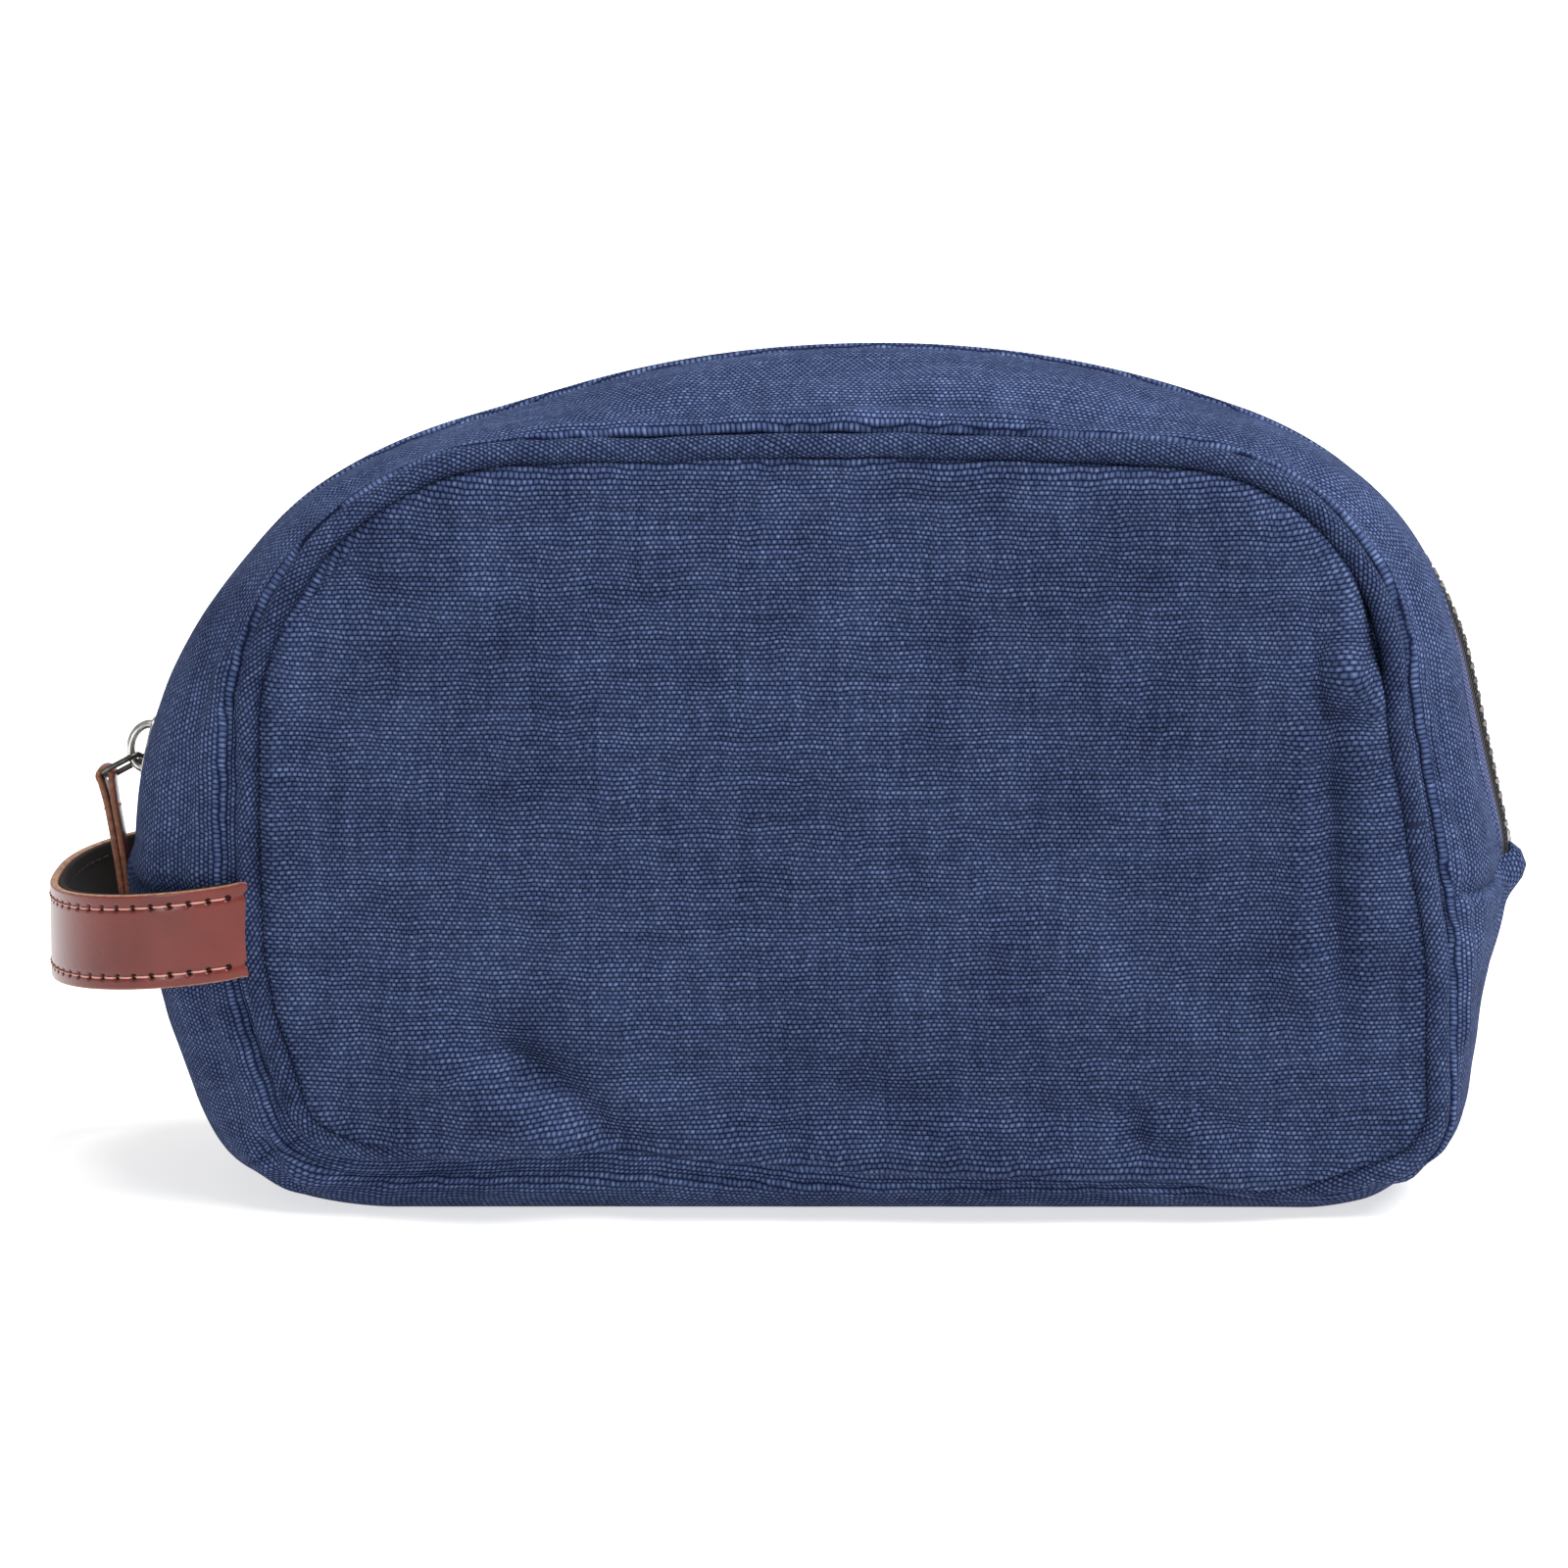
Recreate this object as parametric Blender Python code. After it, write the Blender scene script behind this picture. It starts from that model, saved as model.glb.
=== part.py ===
"""A canvas shaving kit bag: two piped panels, a zipped gusset, an end-and-base band, a lining,
a zip with its slider and leather pull, and a leather carrying loop at the left end.

The bag stands on its base. +X runs along it to the right, +Y to the back and +Z up, and the origin
is the middle of the base. Dimensions are in millimetres, and become metres in new_object().
"""

import math

import bmesh
import bpy
import numpy as np
from mathutils import Matrix, Vector

MM = 0.001

# The outlines, as corners (x, z, fillet radius), anticlockwise from the bottom left as seen from
# the front. The middle outline is the canvas in the plane of the zip, and the seam outline is the
# line on which each panel is sewn to the gusset.
MIDDLE_CORNERS = (
    (-117.3, 0.0, 24.0),
    (119.9, 0.0, 24.0),
    (130.5, 62.1, 35.0),
    (114.3, 133.0, 68.4),
    (14.4, 166.2, 205.0),
    (-145.2, 121.4, 84.3),
)
SEAM_CORNERS = (
    (-103.5, 11.5, 26.0),
    (111.0, 9.5, 24.0),
    (109.5, 60.0, 90.0),
    (102.5, 145.0, 44.0),
    (-104.5, 146.0, 50.0),
    (-108.8, 72.0, 150.0),
)
ZIP_CORNER = 5
HUB = (0.0, 74.0)
HALF_DEPTH = 48.0
PANEL_CROWN = 7.0

# How the gusset bulges between the seams, v being -1 and 1 at the seams. The sides are flat under
# the zip and round from there on. The base is scaled up and clipped, which leaves it flat too.
ZIP_FLAT = 0.07
SIDE_POWER = 1.7
BASE_POWER = 5.0
BASE_GAIN = 1.12
BASE_MIDDLE = math.radians(270)
BASE_FULL = math.radians(50)
BASE_NONE = math.radians(66)

CANVAS = 1.2
LINING = 0.4
LINING_DEPTH = 3.4
LINING_FLOOR = LINING_DEPTH + LINING
GAP = 0.4

PIPING_RADIUS = 2.2
FLANGE_REACH = 9.0
FLANGE_NEAR, FLANGE_FAR = 0.2, 1.0
BINDING_WIDTH = 1.1
STRIP_SEAM_V = 0.95
STRIP_ZIP_Y = 8.0
LINING_SEAM_V = 0.88
LINING_ZIP_Y = 10.5

ZIP_END_Z = 63.0
TEETH_Y, TEETH_DEPTH = (0.55, 3.0), (-0.2, 2.0)
TAPE_Y, TAPE_DEPTH = (3.3, 14.0), (1.5, 2.0)
TAPE_TUCK_Z = 57.5
TEETH_START_Z = 67.2
TOP_STOP_Z = (64.7, 66.7)
BOTTOM_STOP_Z = (63.4, 65.3)
BOTTOM_STOP_Y = 2.2

# The slider, about the middle of the teeth: x towards the closed part of the zip, z out of the bag.
SLIDER_ANGLE = math.radians(167.0)
SLIDER_PLATE = (
    (-5.5, -3.3),
    (-4.1, -4.4),
    (0.0, -4.4),
    (5.5, -3.3),
    (5.5, 3.3),
    (0.0, 4.4),
    (-4.1, 4.4),
    (-5.5, 3.3),
)
OUTER_PLATE_Z, INNER_PLATE_Z = (1.4, 2.1), (-2.4, -1.7)
WEDGE_X = (-5.2, -1.2)
WEDGE_HALF_Y = 0.24
CROWN_HALF_LENGTH, CROWN_HALF_WIDTH = 3.9, 1.0
CROWN_INNER_Z, CROWN_OUTER_Z = 3.75, 4.55
LINK_BAR_X, LINK_BAR_Z = -2.1, 2.93
LINK_LENGTH, LINK_HALF_WIDTH, LINK_WIRE, LINK_BEND = 7.5, 4.2, 0.5, 1.3
# The link's corners: their x, their side, and the heading in degrees from which each bends.
LINK_CORNERS = ((0, -1, 180), (LINK_LENGTH, -1, 270), (LINK_LENGTH, 1, 0), (0, 1, 90))
LINK_ANGLE = math.radians(207.8)
TAB_ANGLE = math.radians(278.4)
TAB_LENGTH, TAB_HALF_WIDTH, TAB_THICKNESS = 36.0, 3.3, 2.3
TAB_EYE, TAB_HEAD = 0.85, 1.9

# The carrying loop: half a superellipse in plan, sagging a little in the middle.
LOOP_START_X, LOOP_REACH, LOOP_HALF_SPAN = -110.6, 36.8, 49.4
LOOP_POWER = 2.6
LOOP_WIDTH = 17.5
LOOP_Z, LOOP_SAG = 53.7, 4.7
LEATHER, BACKING = 1.4, 1.1
LOOP_STEPS = 22

CANVAS_BLUE = (0.045, 0.075, 0.17)
PIPING_BLUE = (0.04, 0.066, 0.155)
LINING_GREY = (0.05, 0.06, 0.08)
BINDING_NAVY = (0.015, 0.02, 0.045)
TAPE_NAVY = (0.03, 0.045, 0.12)
TEETH_BRONZE = (0.16, 0.14, 0.11)
NICKEL = (0.62, 0.61, 0.58)
GUNMETAL = (0.10, 0.10, 0.095)
TAN = (0.30, 0.09, 0.05)
DARK_HIDE = (0.02, 0.012, 0.01)


def rounded_outline(corners, step=0.5):
    """The closed outline of filleted corners, as points about `step` apart."""
    points = []
    count = len(corners)
    for index, (x, z, radius) in enumerate(corners):
        corner = np.array((x, z))
        before = np.array(corners[index - 1][:2]) - corner
        after = np.array(corners[(index + 1) % count][:2]) - corner
        before /= np.linalg.norm(before)
        after /= np.linalg.norm(after)
        half = math.acos(float(before @ after)) / 2
        centre = fillet_centre(corner, before, after, half, radius)
        start = corner + before * radius / math.tan(half) - centre
        turn = math.pi - 2 * half
        steps = max(2, int(turn * radius / step))
        for angle in np.linspace(0, turn, steps):
            cos, sin = math.cos(angle), math.sin(angle)
            turned = (start[0] * cos - start[1] * sin, start[0] * sin + start[1] * cos)
            points.append(centre + np.array(turned))
    return fill_straights(np.array(points), step)


def fillet_centre(corner, before, after, half, radius):
    """The centre of the arc that rounds a corner whose sides leave along before and after."""
    middle = before + after
    return corner + middle / np.linalg.norm(middle) * radius / math.sin(half)


def fill_straights(points, step):
    """The same closed outline with points no further apart than `step`."""
    filled = []
    for start, end in zip(points, np.roll(points, -1, axis=0)):
        parts = max(1, int(np.linalg.norm(end - start) / step))
        filled += [start + (end - start) * k / parts for k in range(parts)]
    return np.array(filled)


def polar(points):
    """The angles about the hub, increasing from that of the first point, and the radii."""
    away = points - np.array(HUB)
    return np.unwrap(np.arctan2(away[:, 1], away[:, 0])), np.linalg.norm(away, axis=1)


MIDDLE_POLAR = polar(rounded_outline(MIDDLE_CORNERS))
SEAM_POLAR = polar(rounded_outline(SEAM_CORNERS))


def radius_at(outline, angle):
    return np.interp(np.mod(angle, 2 * math.pi), *sorted_polar(outline))


def sorted_polar(outline):
    angles, radii = np.mod(outline[0], 2 * math.pi), outline[1]
    order = np.argsort(angles)
    angles, radii = angles[order], radii[order]
    return (
        np.concatenate(([angles[-1] - 2 * math.pi], angles, [angles[0] + 2 * math.pi])),
        np.concatenate(([radii[-1]], radii, [radii[0]])),
    )


def seam_point(angle, inset=0.0):
    """(x, z) on the seam outline, or inset from it along its own normal."""
    small = 0.004

    def at(a):
        radius = float(radius_at(SEAM_POLAR, a))
        return Vector((HUB[0] + radius * math.cos(a), HUB[1] + radius * math.sin(a)))

    along = (at(angle + small) - at(angle - small)).normalized()
    return at(angle) - Vector((along.y, -along.x)) * inset


def base_share(angle):
    """1 on the base, 0 on the ends and the top, and smooth between them."""
    away = abs((angle - BASE_MIDDLE + math.pi) % (2 * math.pi) - math.pi)
    t = min(1.0, max(0.0, (BASE_NONE - away) / (BASE_NONE - BASE_FULL)))
    return t * t * (3 - 2 * t)


def bulge(angle, v):
    """How far the gusset has swelled from the seam outline to the middle one, from 0 to 1."""
    share = base_share(angle)
    side = 1 - (max(0.0, abs(v) - ZIP_FLAT) / (1 - ZIP_FLAT)) ** SIDE_POWER
    base = min(1.0, BASE_GAIN * (1 - abs(v) ** BASE_POWER))
    return side * (1 - share) + base * share


def gusset_face(angle, v):
    """A point on the outer face of the canvas gusset."""
    seam, middle = radius_at(SEAM_POLAR, angle), radius_at(MIDDLE_POLAR, angle)
    radius = float(seam + (middle - seam) * bulge(angle, v))
    x, z = HUB[0] + radius * math.cos(angle), HUB[1] + radius * math.sin(angle)
    return np.array((x, HALF_DEPTH * v, z))


def gusset_normal(angle, v):
    """The direction out of the bag at that point."""
    small = 0.004
    around = gusset_face(angle + small, v) - gusset_face(angle - small, v)
    across = gusset_face(angle, v + small) - gusset_face(angle, v - small)
    normal = np.cross(across, around)
    return normal / np.linalg.norm(normal)


def angle_at_height(z, right):
    """The angle about the hub at which the middle outline's end is at this height."""
    low, high = (-0.75, 0.4) if right else (math.pi + 0.75, math.pi - 0.4)
    for _ in range(40):
        middle = (low + high) / 2
        height = HUB[1] + float(radius_at(MIDDLE_POLAR, middle)) * math.sin(middle)
        low, high = (middle, high) if height < z else (low, middle)
    return low


def stations(start, end, count):
    """Angles from start to end, closer together where the outline curves."""
    angles = np.linspace(start, end, 400)
    radii = radius_at(MIDDLE_POLAR, angles)
    path = np.stack((radii * np.cos(angles), radii * np.sin(angles)), axis=1)
    steps = np.diff(path, axis=0)
    headings = np.unwrap(np.arctan2(steps[:, 1], steps[:, 0]))
    lengths = np.linalg.norm(steps, axis=1)
    turns = np.concatenate(([0], np.abs(np.diff(headings))))
    weight = lengths / lengths.sum() + turns / max(turns.sum(), 1e-6)
    total = np.concatenate(([0], np.cumsum(weight)))
    return np.interp(np.linspace(0, total[-1], count + 1), total, angles)


ZIP_RIGHT = angle_at_height(ZIP_END_Z, right=True)
ZIP_LEFT = angle_at_height(ZIP_END_Z, right=False)
BASE_LEFT, BASE_RIGHT = math.radians(211.5), math.radians(328.7)
GAP_ANGLE = GAP / 2 / 130
ROUND = np.concatenate(
    (
        stations(ZIP_RIGHT, ZIP_LEFT, 34)[:-1],
        stations(ZIP_LEFT, ZIP_RIGHT + 2 * math.pi, 24)[:-1],
    )
)

# Every layer of the gusset is cut from one lattice of flat facets, so that the layers are parallel.
KNOTS_V = np.array((-0.95, -0.85, -0.7, -0.5, -0.3, -0.1, 0.1, 0.3, 0.5, 0.7, 0.85, 0.95))
KNOTS_ANGLE = np.concatenate((ROUND - 2 * math.pi, ROUND, ROUND + 2 * math.pi))
FACES = np.array([[gusset_face(a, v) for v in KNOTS_V] for a in KNOTS_ANGLE])
NORMALS = np.array([[gusset_normal(a, v) for v in KNOTS_V] for a in KNOTS_ANGLE])


def gusset_point(angle, v, depth):
    """A point `depth` inside the outer face of the gusset's lattice."""
    i = int(np.clip(np.searchsorted(KNOTS_ANGLE, angle) - 1, 0, len(KNOTS_ANGLE) - 2))
    j = int(np.clip(np.searchsorted(KNOTS_V, v) - 1, 0, len(KNOTS_V) - 2))
    s = (angle - KNOTS_ANGLE[i]) / (KNOTS_ANGLE[i + 1] - KNOTS_ANGLE[i])
    t = (v - KNOTS_V[j]) / (KNOTS_V[j + 1] - KNOTS_V[j])
    lattice = FACES - NORMALS * depth
    near = lattice[i, j] * (1 - t) + lattice[i, j + 1] * t
    far = lattice[i + 1, j] * (1 - t) + lattice[i + 1, j + 1] * t
    return Vector(near * (1 - s) + far * s)


def spread(start, end, knots):
    """start and end, with the knots that lie between them."""
    return [start, *(k for k in knots if start + 1e-3 < k < end - 1e-3), end]


def new_object(name, points, faces, material, parent=None):
    """A closed mesh object from points in millimetres."""
    mesh = bpy.data.meshes.new(name)
    shape = bmesh.new()
    verts = [shape.verts.new(Vector(p) * MM) for p in points]
    for face in faces:
        shape.faces.new([verts[i] for i in face])
    bmesh.ops.recalc_face_normals(shape, faces=shape.faces)
    if shape.calc_volume(signed=True) < 0:
        bmesh.ops.reverse_faces(shape, faces=shape.faces)
    shape.to_mesh(mesh)
    shape.free()
    mesh.materials.append(material)
    mesh.shade_smooth()
    mesh.set_sharp_from_angle(angle=math.radians(35))
    found = bpy.data.objects.new(name, mesh)
    found.parent = parent
    bpy.context.scene.collection.objects.link(found)
    return found


def skin(name, material, rows, closed=False, parent=None):
    """A solid swept through rows, each of them one closed section with the same point count."""
    around = len(rows[0])
    points = [p for row in rows for p in row]
    faces = []
    for i in range(len(rows) if closed else len(rows) - 1):
        j = (i + 1) % len(rows)
        for k in range(around):
            m = (k + 1) % around
            faces.append((i * around + k, i * around + m, j * around + m, j * around + k))
    if not closed:
        faces.append(tuple(range(around)))
        faces.append(tuple((len(rows) - 1) * around + k for k in range(around)))
    return new_object(name, points, faces, material, parent)


def gusset_piece(name, material, arc, reach, top, bottom):
    """A sheet of the gusset over a range of angles and a range of v, between two depths.

    Its end faces are made of quads, so that they follow the curve of the section.
    """
    widths = spread(*reach, KNOTS_V)
    rows = []
    for angle in spread(*arc, KNOTS_ANGLE):
        outer = [gusset_point(angle, v, top) for v in widths]
        inner = [gusset_point(angle, v, bottom) for v in reversed(widths)]
        rows.append(outer + inner)
    around = len(rows[0])
    last = (len(rows) - 1) * around
    points = [p for row in rows for p in row]
    faces = []
    for i in range(len(rows) - 1):
        for k in range(around):
            m = (k + 1) % around
            faces.append(
                (i * around + k, i * around + m, (i + 1) * around + m, (i + 1) * around + k)
            )
    for k in range(len(widths) - 1):
        quad = (k, k + 1, around - 2 - k, around - 1 - k)
        faces.append(quad)
        faces.append(tuple(last + n for n in quad))
    return new_object(name, points, faces, material)


def ring_sheet(name, material, inset, rings, face_y, thickness, side):
    """A crowned disc inside the seam outline. side is -1 at the front and 1 at the back."""
    points, faces = [], []
    count = len(ROUND)
    for extra in (thickness, 0.0):
        points.append(Vector((HUB[0], side * (face_y(0.0) + extra), HUB[1])))
        for share in rings:
            for angle in ROUND:
                edge = seam_point(angle, inset)
                x = HUB[0] + (edge.x - HUB[0]) * share
                z = HUB[1] + (edge.y - HUB[1]) * share
                points.append(Vector((x, side * (face_y(share) + extra), z)))
    layer = 1 + count * len(rings)
    for base in (0, layer):
        for k in range(count):
            m = (k + 1) % count
            faces.append((base, base + 1 + k, base + 1 + m))
            for r in range(len(rings) - 1):
                near, far = base + 1 + r * count, base + 1 + (r + 1) * count
                faces.append((near + k, far + k, far + m, near + m))
    rim = 1 + (len(rings) - 1) * count
    for k in range(count):
        m = (k + 1) % count
        faces.append((rim + k, rim + m, layer + rim + m, layer + rim + k))
    return new_object(name, points, faces, material)


def seam_sweep(name, material, section, side):
    """A closed ring along the seam. The section holds (outward, towards the inside of the bag)."""
    rows = []
    for angle in ROUND:
        row = []
        for outward, inward in section:
            edge = seam_point(angle, -outward)
            row.append(Vector((edge.x, side * (HALF_DEPTH - inward), edge.y)))
        rows.append(row)
    return skin(name, material, rows, closed=True)


def prism(name, material, outline, low, high, parent=None):
    """An outline of (x, z) points, extruded along Y from low to high."""
    rows = [[Vector((x, y, z)) for x, z in outline] for y in (low, high)]
    return skin(name, material, rows, parent=parent)


def plate(name, material, outline, low, high, parent=None):
    """An outline of (x, y) points, extruded along Z from low to high."""
    rows = [[Vector((x, y, z)) for x, y in outline] for z in (low, high)]
    return skin(name, material, rows, parent=parent)


def helper(found):
    """Keeps a cutter, or a solid that is only joined to another, out of the part."""
    found.hide_render = True
    found.display_type = "WIRE"
    return found


def combine(target, other, operation):
    modifier = target.modifiers.new(operation.lower(), "BOOLEAN")
    modifier.operation = operation
    modifier.object = helper(other)


def frame_empty(name, x, z, heading, parent=None):
    """An empty on a joint's axis, with its local X along `heading` in the plane of the panels."""
    found = bpy.data.objects.new(name, None)
    bpy.context.scene.collection.objects.link(found)
    axis = Vector((math.cos(heading), 0, math.sin(heading)))
    up = axis.cross(Vector((0, 1, 0)))
    turn = Matrix((axis, (0, 1, 0), up)).transposed().to_4x4()
    world = Matrix.Translation(Vector((x, 0, z)) * MM) @ turn
    found.parent = parent
    found.matrix_world = world
    bpy.context.view_layer.update()
    return found


def material(name, colour, roughness, metallic=0.0):
    found = bpy.data.materials.new(name)
    found.use_nodes = True
    shader = found.node_tree.nodes["Principled BSDF"]
    shader.inputs["Base Color"].default_value = (*colour, 1)
    shader.inputs["Roughness"].default_value = roughness
    shader.inputs["Metallic"].default_value = metallic
    found.diffuse_color = (*colour, 1)
    return found


def make_materials():
    return {
        "canvas": material("canvas", CANVAS_BLUE, 0.95),
        "piping": material("piping", PIPING_BLUE, 0.95),
        "lining": material("lining", LINING_GREY, 0.6),
        "binding": material("binding", BINDING_NAVY, 0.9),
        "tape": material("tape", TAPE_NAVY, 0.85),
        "teeth": material("teeth", TEETH_BRONZE, 0.4, 0.7),
        "nickel": material("nickel", NICKEL, 0.25, 1.0),
        "gunmetal": material("gunmetal", GUNMETAL, 0.35, 1.0),
        "leather": material("leather", TAN, 0.4),
        "backing": material("backing", DARK_HIDE, 0.6),
    }


def make_panels(mats):
    """The front and back panels, each with its piping, seam binding and lining."""
    seat = HALF_DEPTH + 1.0

    def canvas_y(share):
        return seat + PANEL_CROWN * (1 - share**2.6)

    def lining_y(share):
        return HALF_DEPTH - 2.3 + (PANEL_CROWN - 1.0) * (1 - min(1.0, share / 0.82) ** 2.6)

    cord = [
        (PIPING_RADIUS * math.cos(a), PIPING_RADIUS * math.sin(a))
        for a in (math.radians(d) for d in (-150, -90, -30, 30, 90))
    ]
    piping = [
        *cord,
        (-math.sqrt(PIPING_RADIUS**2 - FLANGE_FAR**2), FLANGE_FAR),
        (-FLANGE_REACH, FLANGE_FAR),
        (-FLANGE_REACH, FLANGE_NEAR),
        (-math.sqrt(PIPING_RADIUS**2 - FLANGE_NEAR**2), FLANGE_NEAR),
    ]
    near, far = FLANGE_REACH + GAP, FLANGE_REACH + GAP + BINDING_WIDTH
    binding = [(-near, -0.3), (-near, 1.5), (-far, 1.5), (-far, -0.3)]
    for side, word in ((-1, "front"), (1, "back")):
        edge = PIPING_RADIUS + GAP
        rings = (0.3, 0.55, 0.75, 0.9, 1.0)
        ring_sheet(f"{word}_panel", mats["canvas"], edge, rings, canvas_y, CANVAS, side)
        seam_sweep(f"{word}_piping", mats["piping"], piping, side)
        seam_sweep(f"{word}_seam_binding", mats["binding"], binding, side)
        rings = (0.4, 0.82, 1.0)
        ring_sheet(f"{word}_lining", mats["lining"], 4.0, rings, lining_y, LINING, side)


def make_band(mats):
    """The base and the two ends below the zip, with their one-piece lining."""
    whole = ZIP_RIGHT + 2 * math.pi
    reach = (-STRIP_SEAM_V, STRIP_SEAM_V)
    pieces = (
        ("left_end_panel", ZIP_LEFT, BASE_LEFT),
        ("base_panel", BASE_LEFT, BASE_RIGHT),
        ("right_end_panel", BASE_RIGHT, whole),
    )
    for name, start, end in pieces:
        arc = (start + GAP_ANGLE, end - GAP_ANGLE)
        gusset_piece(name, mats["canvas"], arc, reach, 0.0, CANVAS)
    arc = (ZIP_LEFT + 6 * GAP_ANGLE, whole - 6 * GAP_ANGLE)
    reach = (-LINING_SEAM_V, LINING_SEAM_V)
    gusset_piece("base_lining", mats["lining"], arc, reach, LINING_DEPTH, LINING_FLOOR)


def arch_above(z):
    """The range of angles over the top, between the two places at this height."""
    return angle_at_height(z, right=True), angle_at_height(z, right=False)


def make_zip_halves(mats):
    """Each half of the zip: canvas strip, lining strip, tape, teeth and top stop."""
    arch = (ZIP_RIGHT + GAP_ANGLE, ZIP_LEFT - GAP_ANGLE)
    teeth = arch_above(TEETH_START_Z)
    stop = tuple(angle_at_height(z, right=False) for z in reversed(TOP_STOP_Z))
    seam = STRIP_SEAM_V * HALF_DEPTH
    lining_seam = LINING_SEAM_V * HALF_DEPTH
    pieces = (
        ("strip", "canvas", arch, STRIP_ZIP_Y, seam, 0.0, CANVAS),
        ("strip_lining", "lining", arch, LINING_ZIP_Y, lining_seam, LINING_DEPTH, LINING_FLOOR),
        ("zip_tape", "tape", arch_above(TAPE_TUCK_Z), *TAPE_Y, *TAPE_DEPTH),
        ("zip_teeth", "teeth", teeth, *TEETH_Y, *TEETH_DEPTH),
        ("top_stop", "nickel", stop, *TEETH_Y, *TEETH_DEPTH),
    )
    for side, word in ((-1, "front"), (1, "back")):
        for name, look, arc, near, far, top, bottom in pieces:
            reach = sorted((side * near / HALF_DEPTH, side * far / HALF_DEPTH))
            gusset_piece(f"{word}_{name}", mats[look], arc, reach, top, bottom)
    arc = tuple(angle_at_height(z, right=True) for z in BOTTOM_STOP_Z)
    half = BOTTOM_STOP_Y / HALF_DEPTH
    gusset_piece("bottom_stop", mats["nickel"], arc, (-half, half), *TEETH_DEPTH)


def zip_corner_centre():
    """The centre of the round corner that the slider runs on."""
    x, z, radius = MIDDLE_CORNERS[ZIP_CORNER]
    corner = np.array((x, z))
    before = np.array(MIDDLE_CORNERS[ZIP_CORNER - 1][:2]) - corner
    after = np.array(MIDDLE_CORNERS[0][:2]) - corner
    before /= np.linalg.norm(before)
    after /= np.linalg.norm(after)
    half = math.acos(float(before @ after)) / 2
    return fillet_centre(corner, before, after, half, radius)


def make_slider(mats):
    """The slider on the zip's left corner, with the crown that holds the pull."""
    centre = zip_corner_centre()
    track = MIDDLE_CORNERS[ZIP_CORNER][2] - sum(TEETH_DEPTH) / 2
    heading = SLIDER_ANGLE - math.pi / 2
    axis = frame_empty("slider_axis", centre[0], centre[1], heading)
    seat = bpy.data.objects.new("slider_seat", None)
    bpy.context.scene.collection.objects.link(seat)
    seat.parent = axis
    seat.location = (0, 0, track * MM)

    body = plate("slider_body", mats["nickel"], SLIDER_PLATE, *OUTER_PLATE_Z, seat)
    lower = plate("lower_plate", mats["nickel"], SLIDER_PLATE, *INNER_PLATE_Z, seat)
    x0, x1 = WEDGE_X
    y = WEDGE_HALF_Y
    wedge_outline = ((x0, -y), (x1, -y), (x1, y), (x0, y))
    low, high = sum(INNER_PLATE_Z) / 2, sum(OUTER_PLATE_Z) / 2
    wedge = plate("wedge", mats["nickel"], wedge_outline, low, high, seat)
    combine(body, wedge, "UNION")
    combine(body, lower, "UNION")

    foot, reach = OUTER_PLATE_Z[1] + 0.3, CROWN_HALF_LENGTH
    high, low = CROWN_OUTER_Z, CROWN_INNER_Z
    crown = (
        (-reach, foot),
        (-reach, low - 0.4),
        (-reach + 1.1, high),
        (reach - 1.1, high),
        (reach, low - 0.4),
        (reach, foot),
        (reach - 1.0, foot),
        (reach - 1.0, low - 0.4),
        (reach - 1.5, low),
        (-reach + 1.5, low),
        (-reach + 1.0, low - 0.4),
        (-reach + 1.0, foot),
    )
    prism("slider_crown", mats["nickel"], crown, -CROWN_HALF_WIDTH, CROWN_HALF_WIDTH, seat)
    return centre, track


def make_link(mats, centre, track):
    """The wire link that passes under the crown. Returns the place of its far bar."""
    cos, sin = math.cos(SLIDER_ANGLE), math.sin(SLIDER_ANGLE)
    x = centre[0] + (track + LINK_BAR_Z) * cos + LINK_BAR_X * sin
    z = centre[1] + (track + LINK_BAR_Z) * sin - LINK_BAR_X * cos
    path = []
    for corner_x, side, first in LINK_CORNERS:
        middle_x = min(max(corner_x, LINK_BEND), LINK_LENGTH - LINK_BEND)
        middle_y = side * (LINK_HALF_WIDTH - LINK_BEND)
        for step in range(4):
            angle = math.radians(first + 30 * step)
            across, along = LINK_BEND * math.sin(angle), LINK_BEND * math.cos(angle)
            path.append((middle_x + along, middle_y + across, 0))
    curve = bpy.data.curves.new("pull_link", "CURVE")
    curve.dimensions = "3D"
    curve.bevel_depth = LINK_WIRE * MM
    curve.bevel_resolution = 1
    spline = curve.splines.new("POLY")
    spline.points.add(len(path) - 1)
    for point, place in zip(spline.points, path):
        point.co = (*(Vector(place) * MM), 1)
    spline.use_cyclic_u = True
    curve.materials.append(mats["gunmetal"])
    link = bpy.data.objects.new("pull_link", curve)
    bpy.context.scene.collection.objects.link(link)
    link.parent = frame_empty("link_axis", x, z, LINK_ANGLE)
    return x + LINK_LENGTH * math.cos(LINK_ANGLE), z + LINK_LENGTH * math.sin(LINK_ANGLE)


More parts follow.
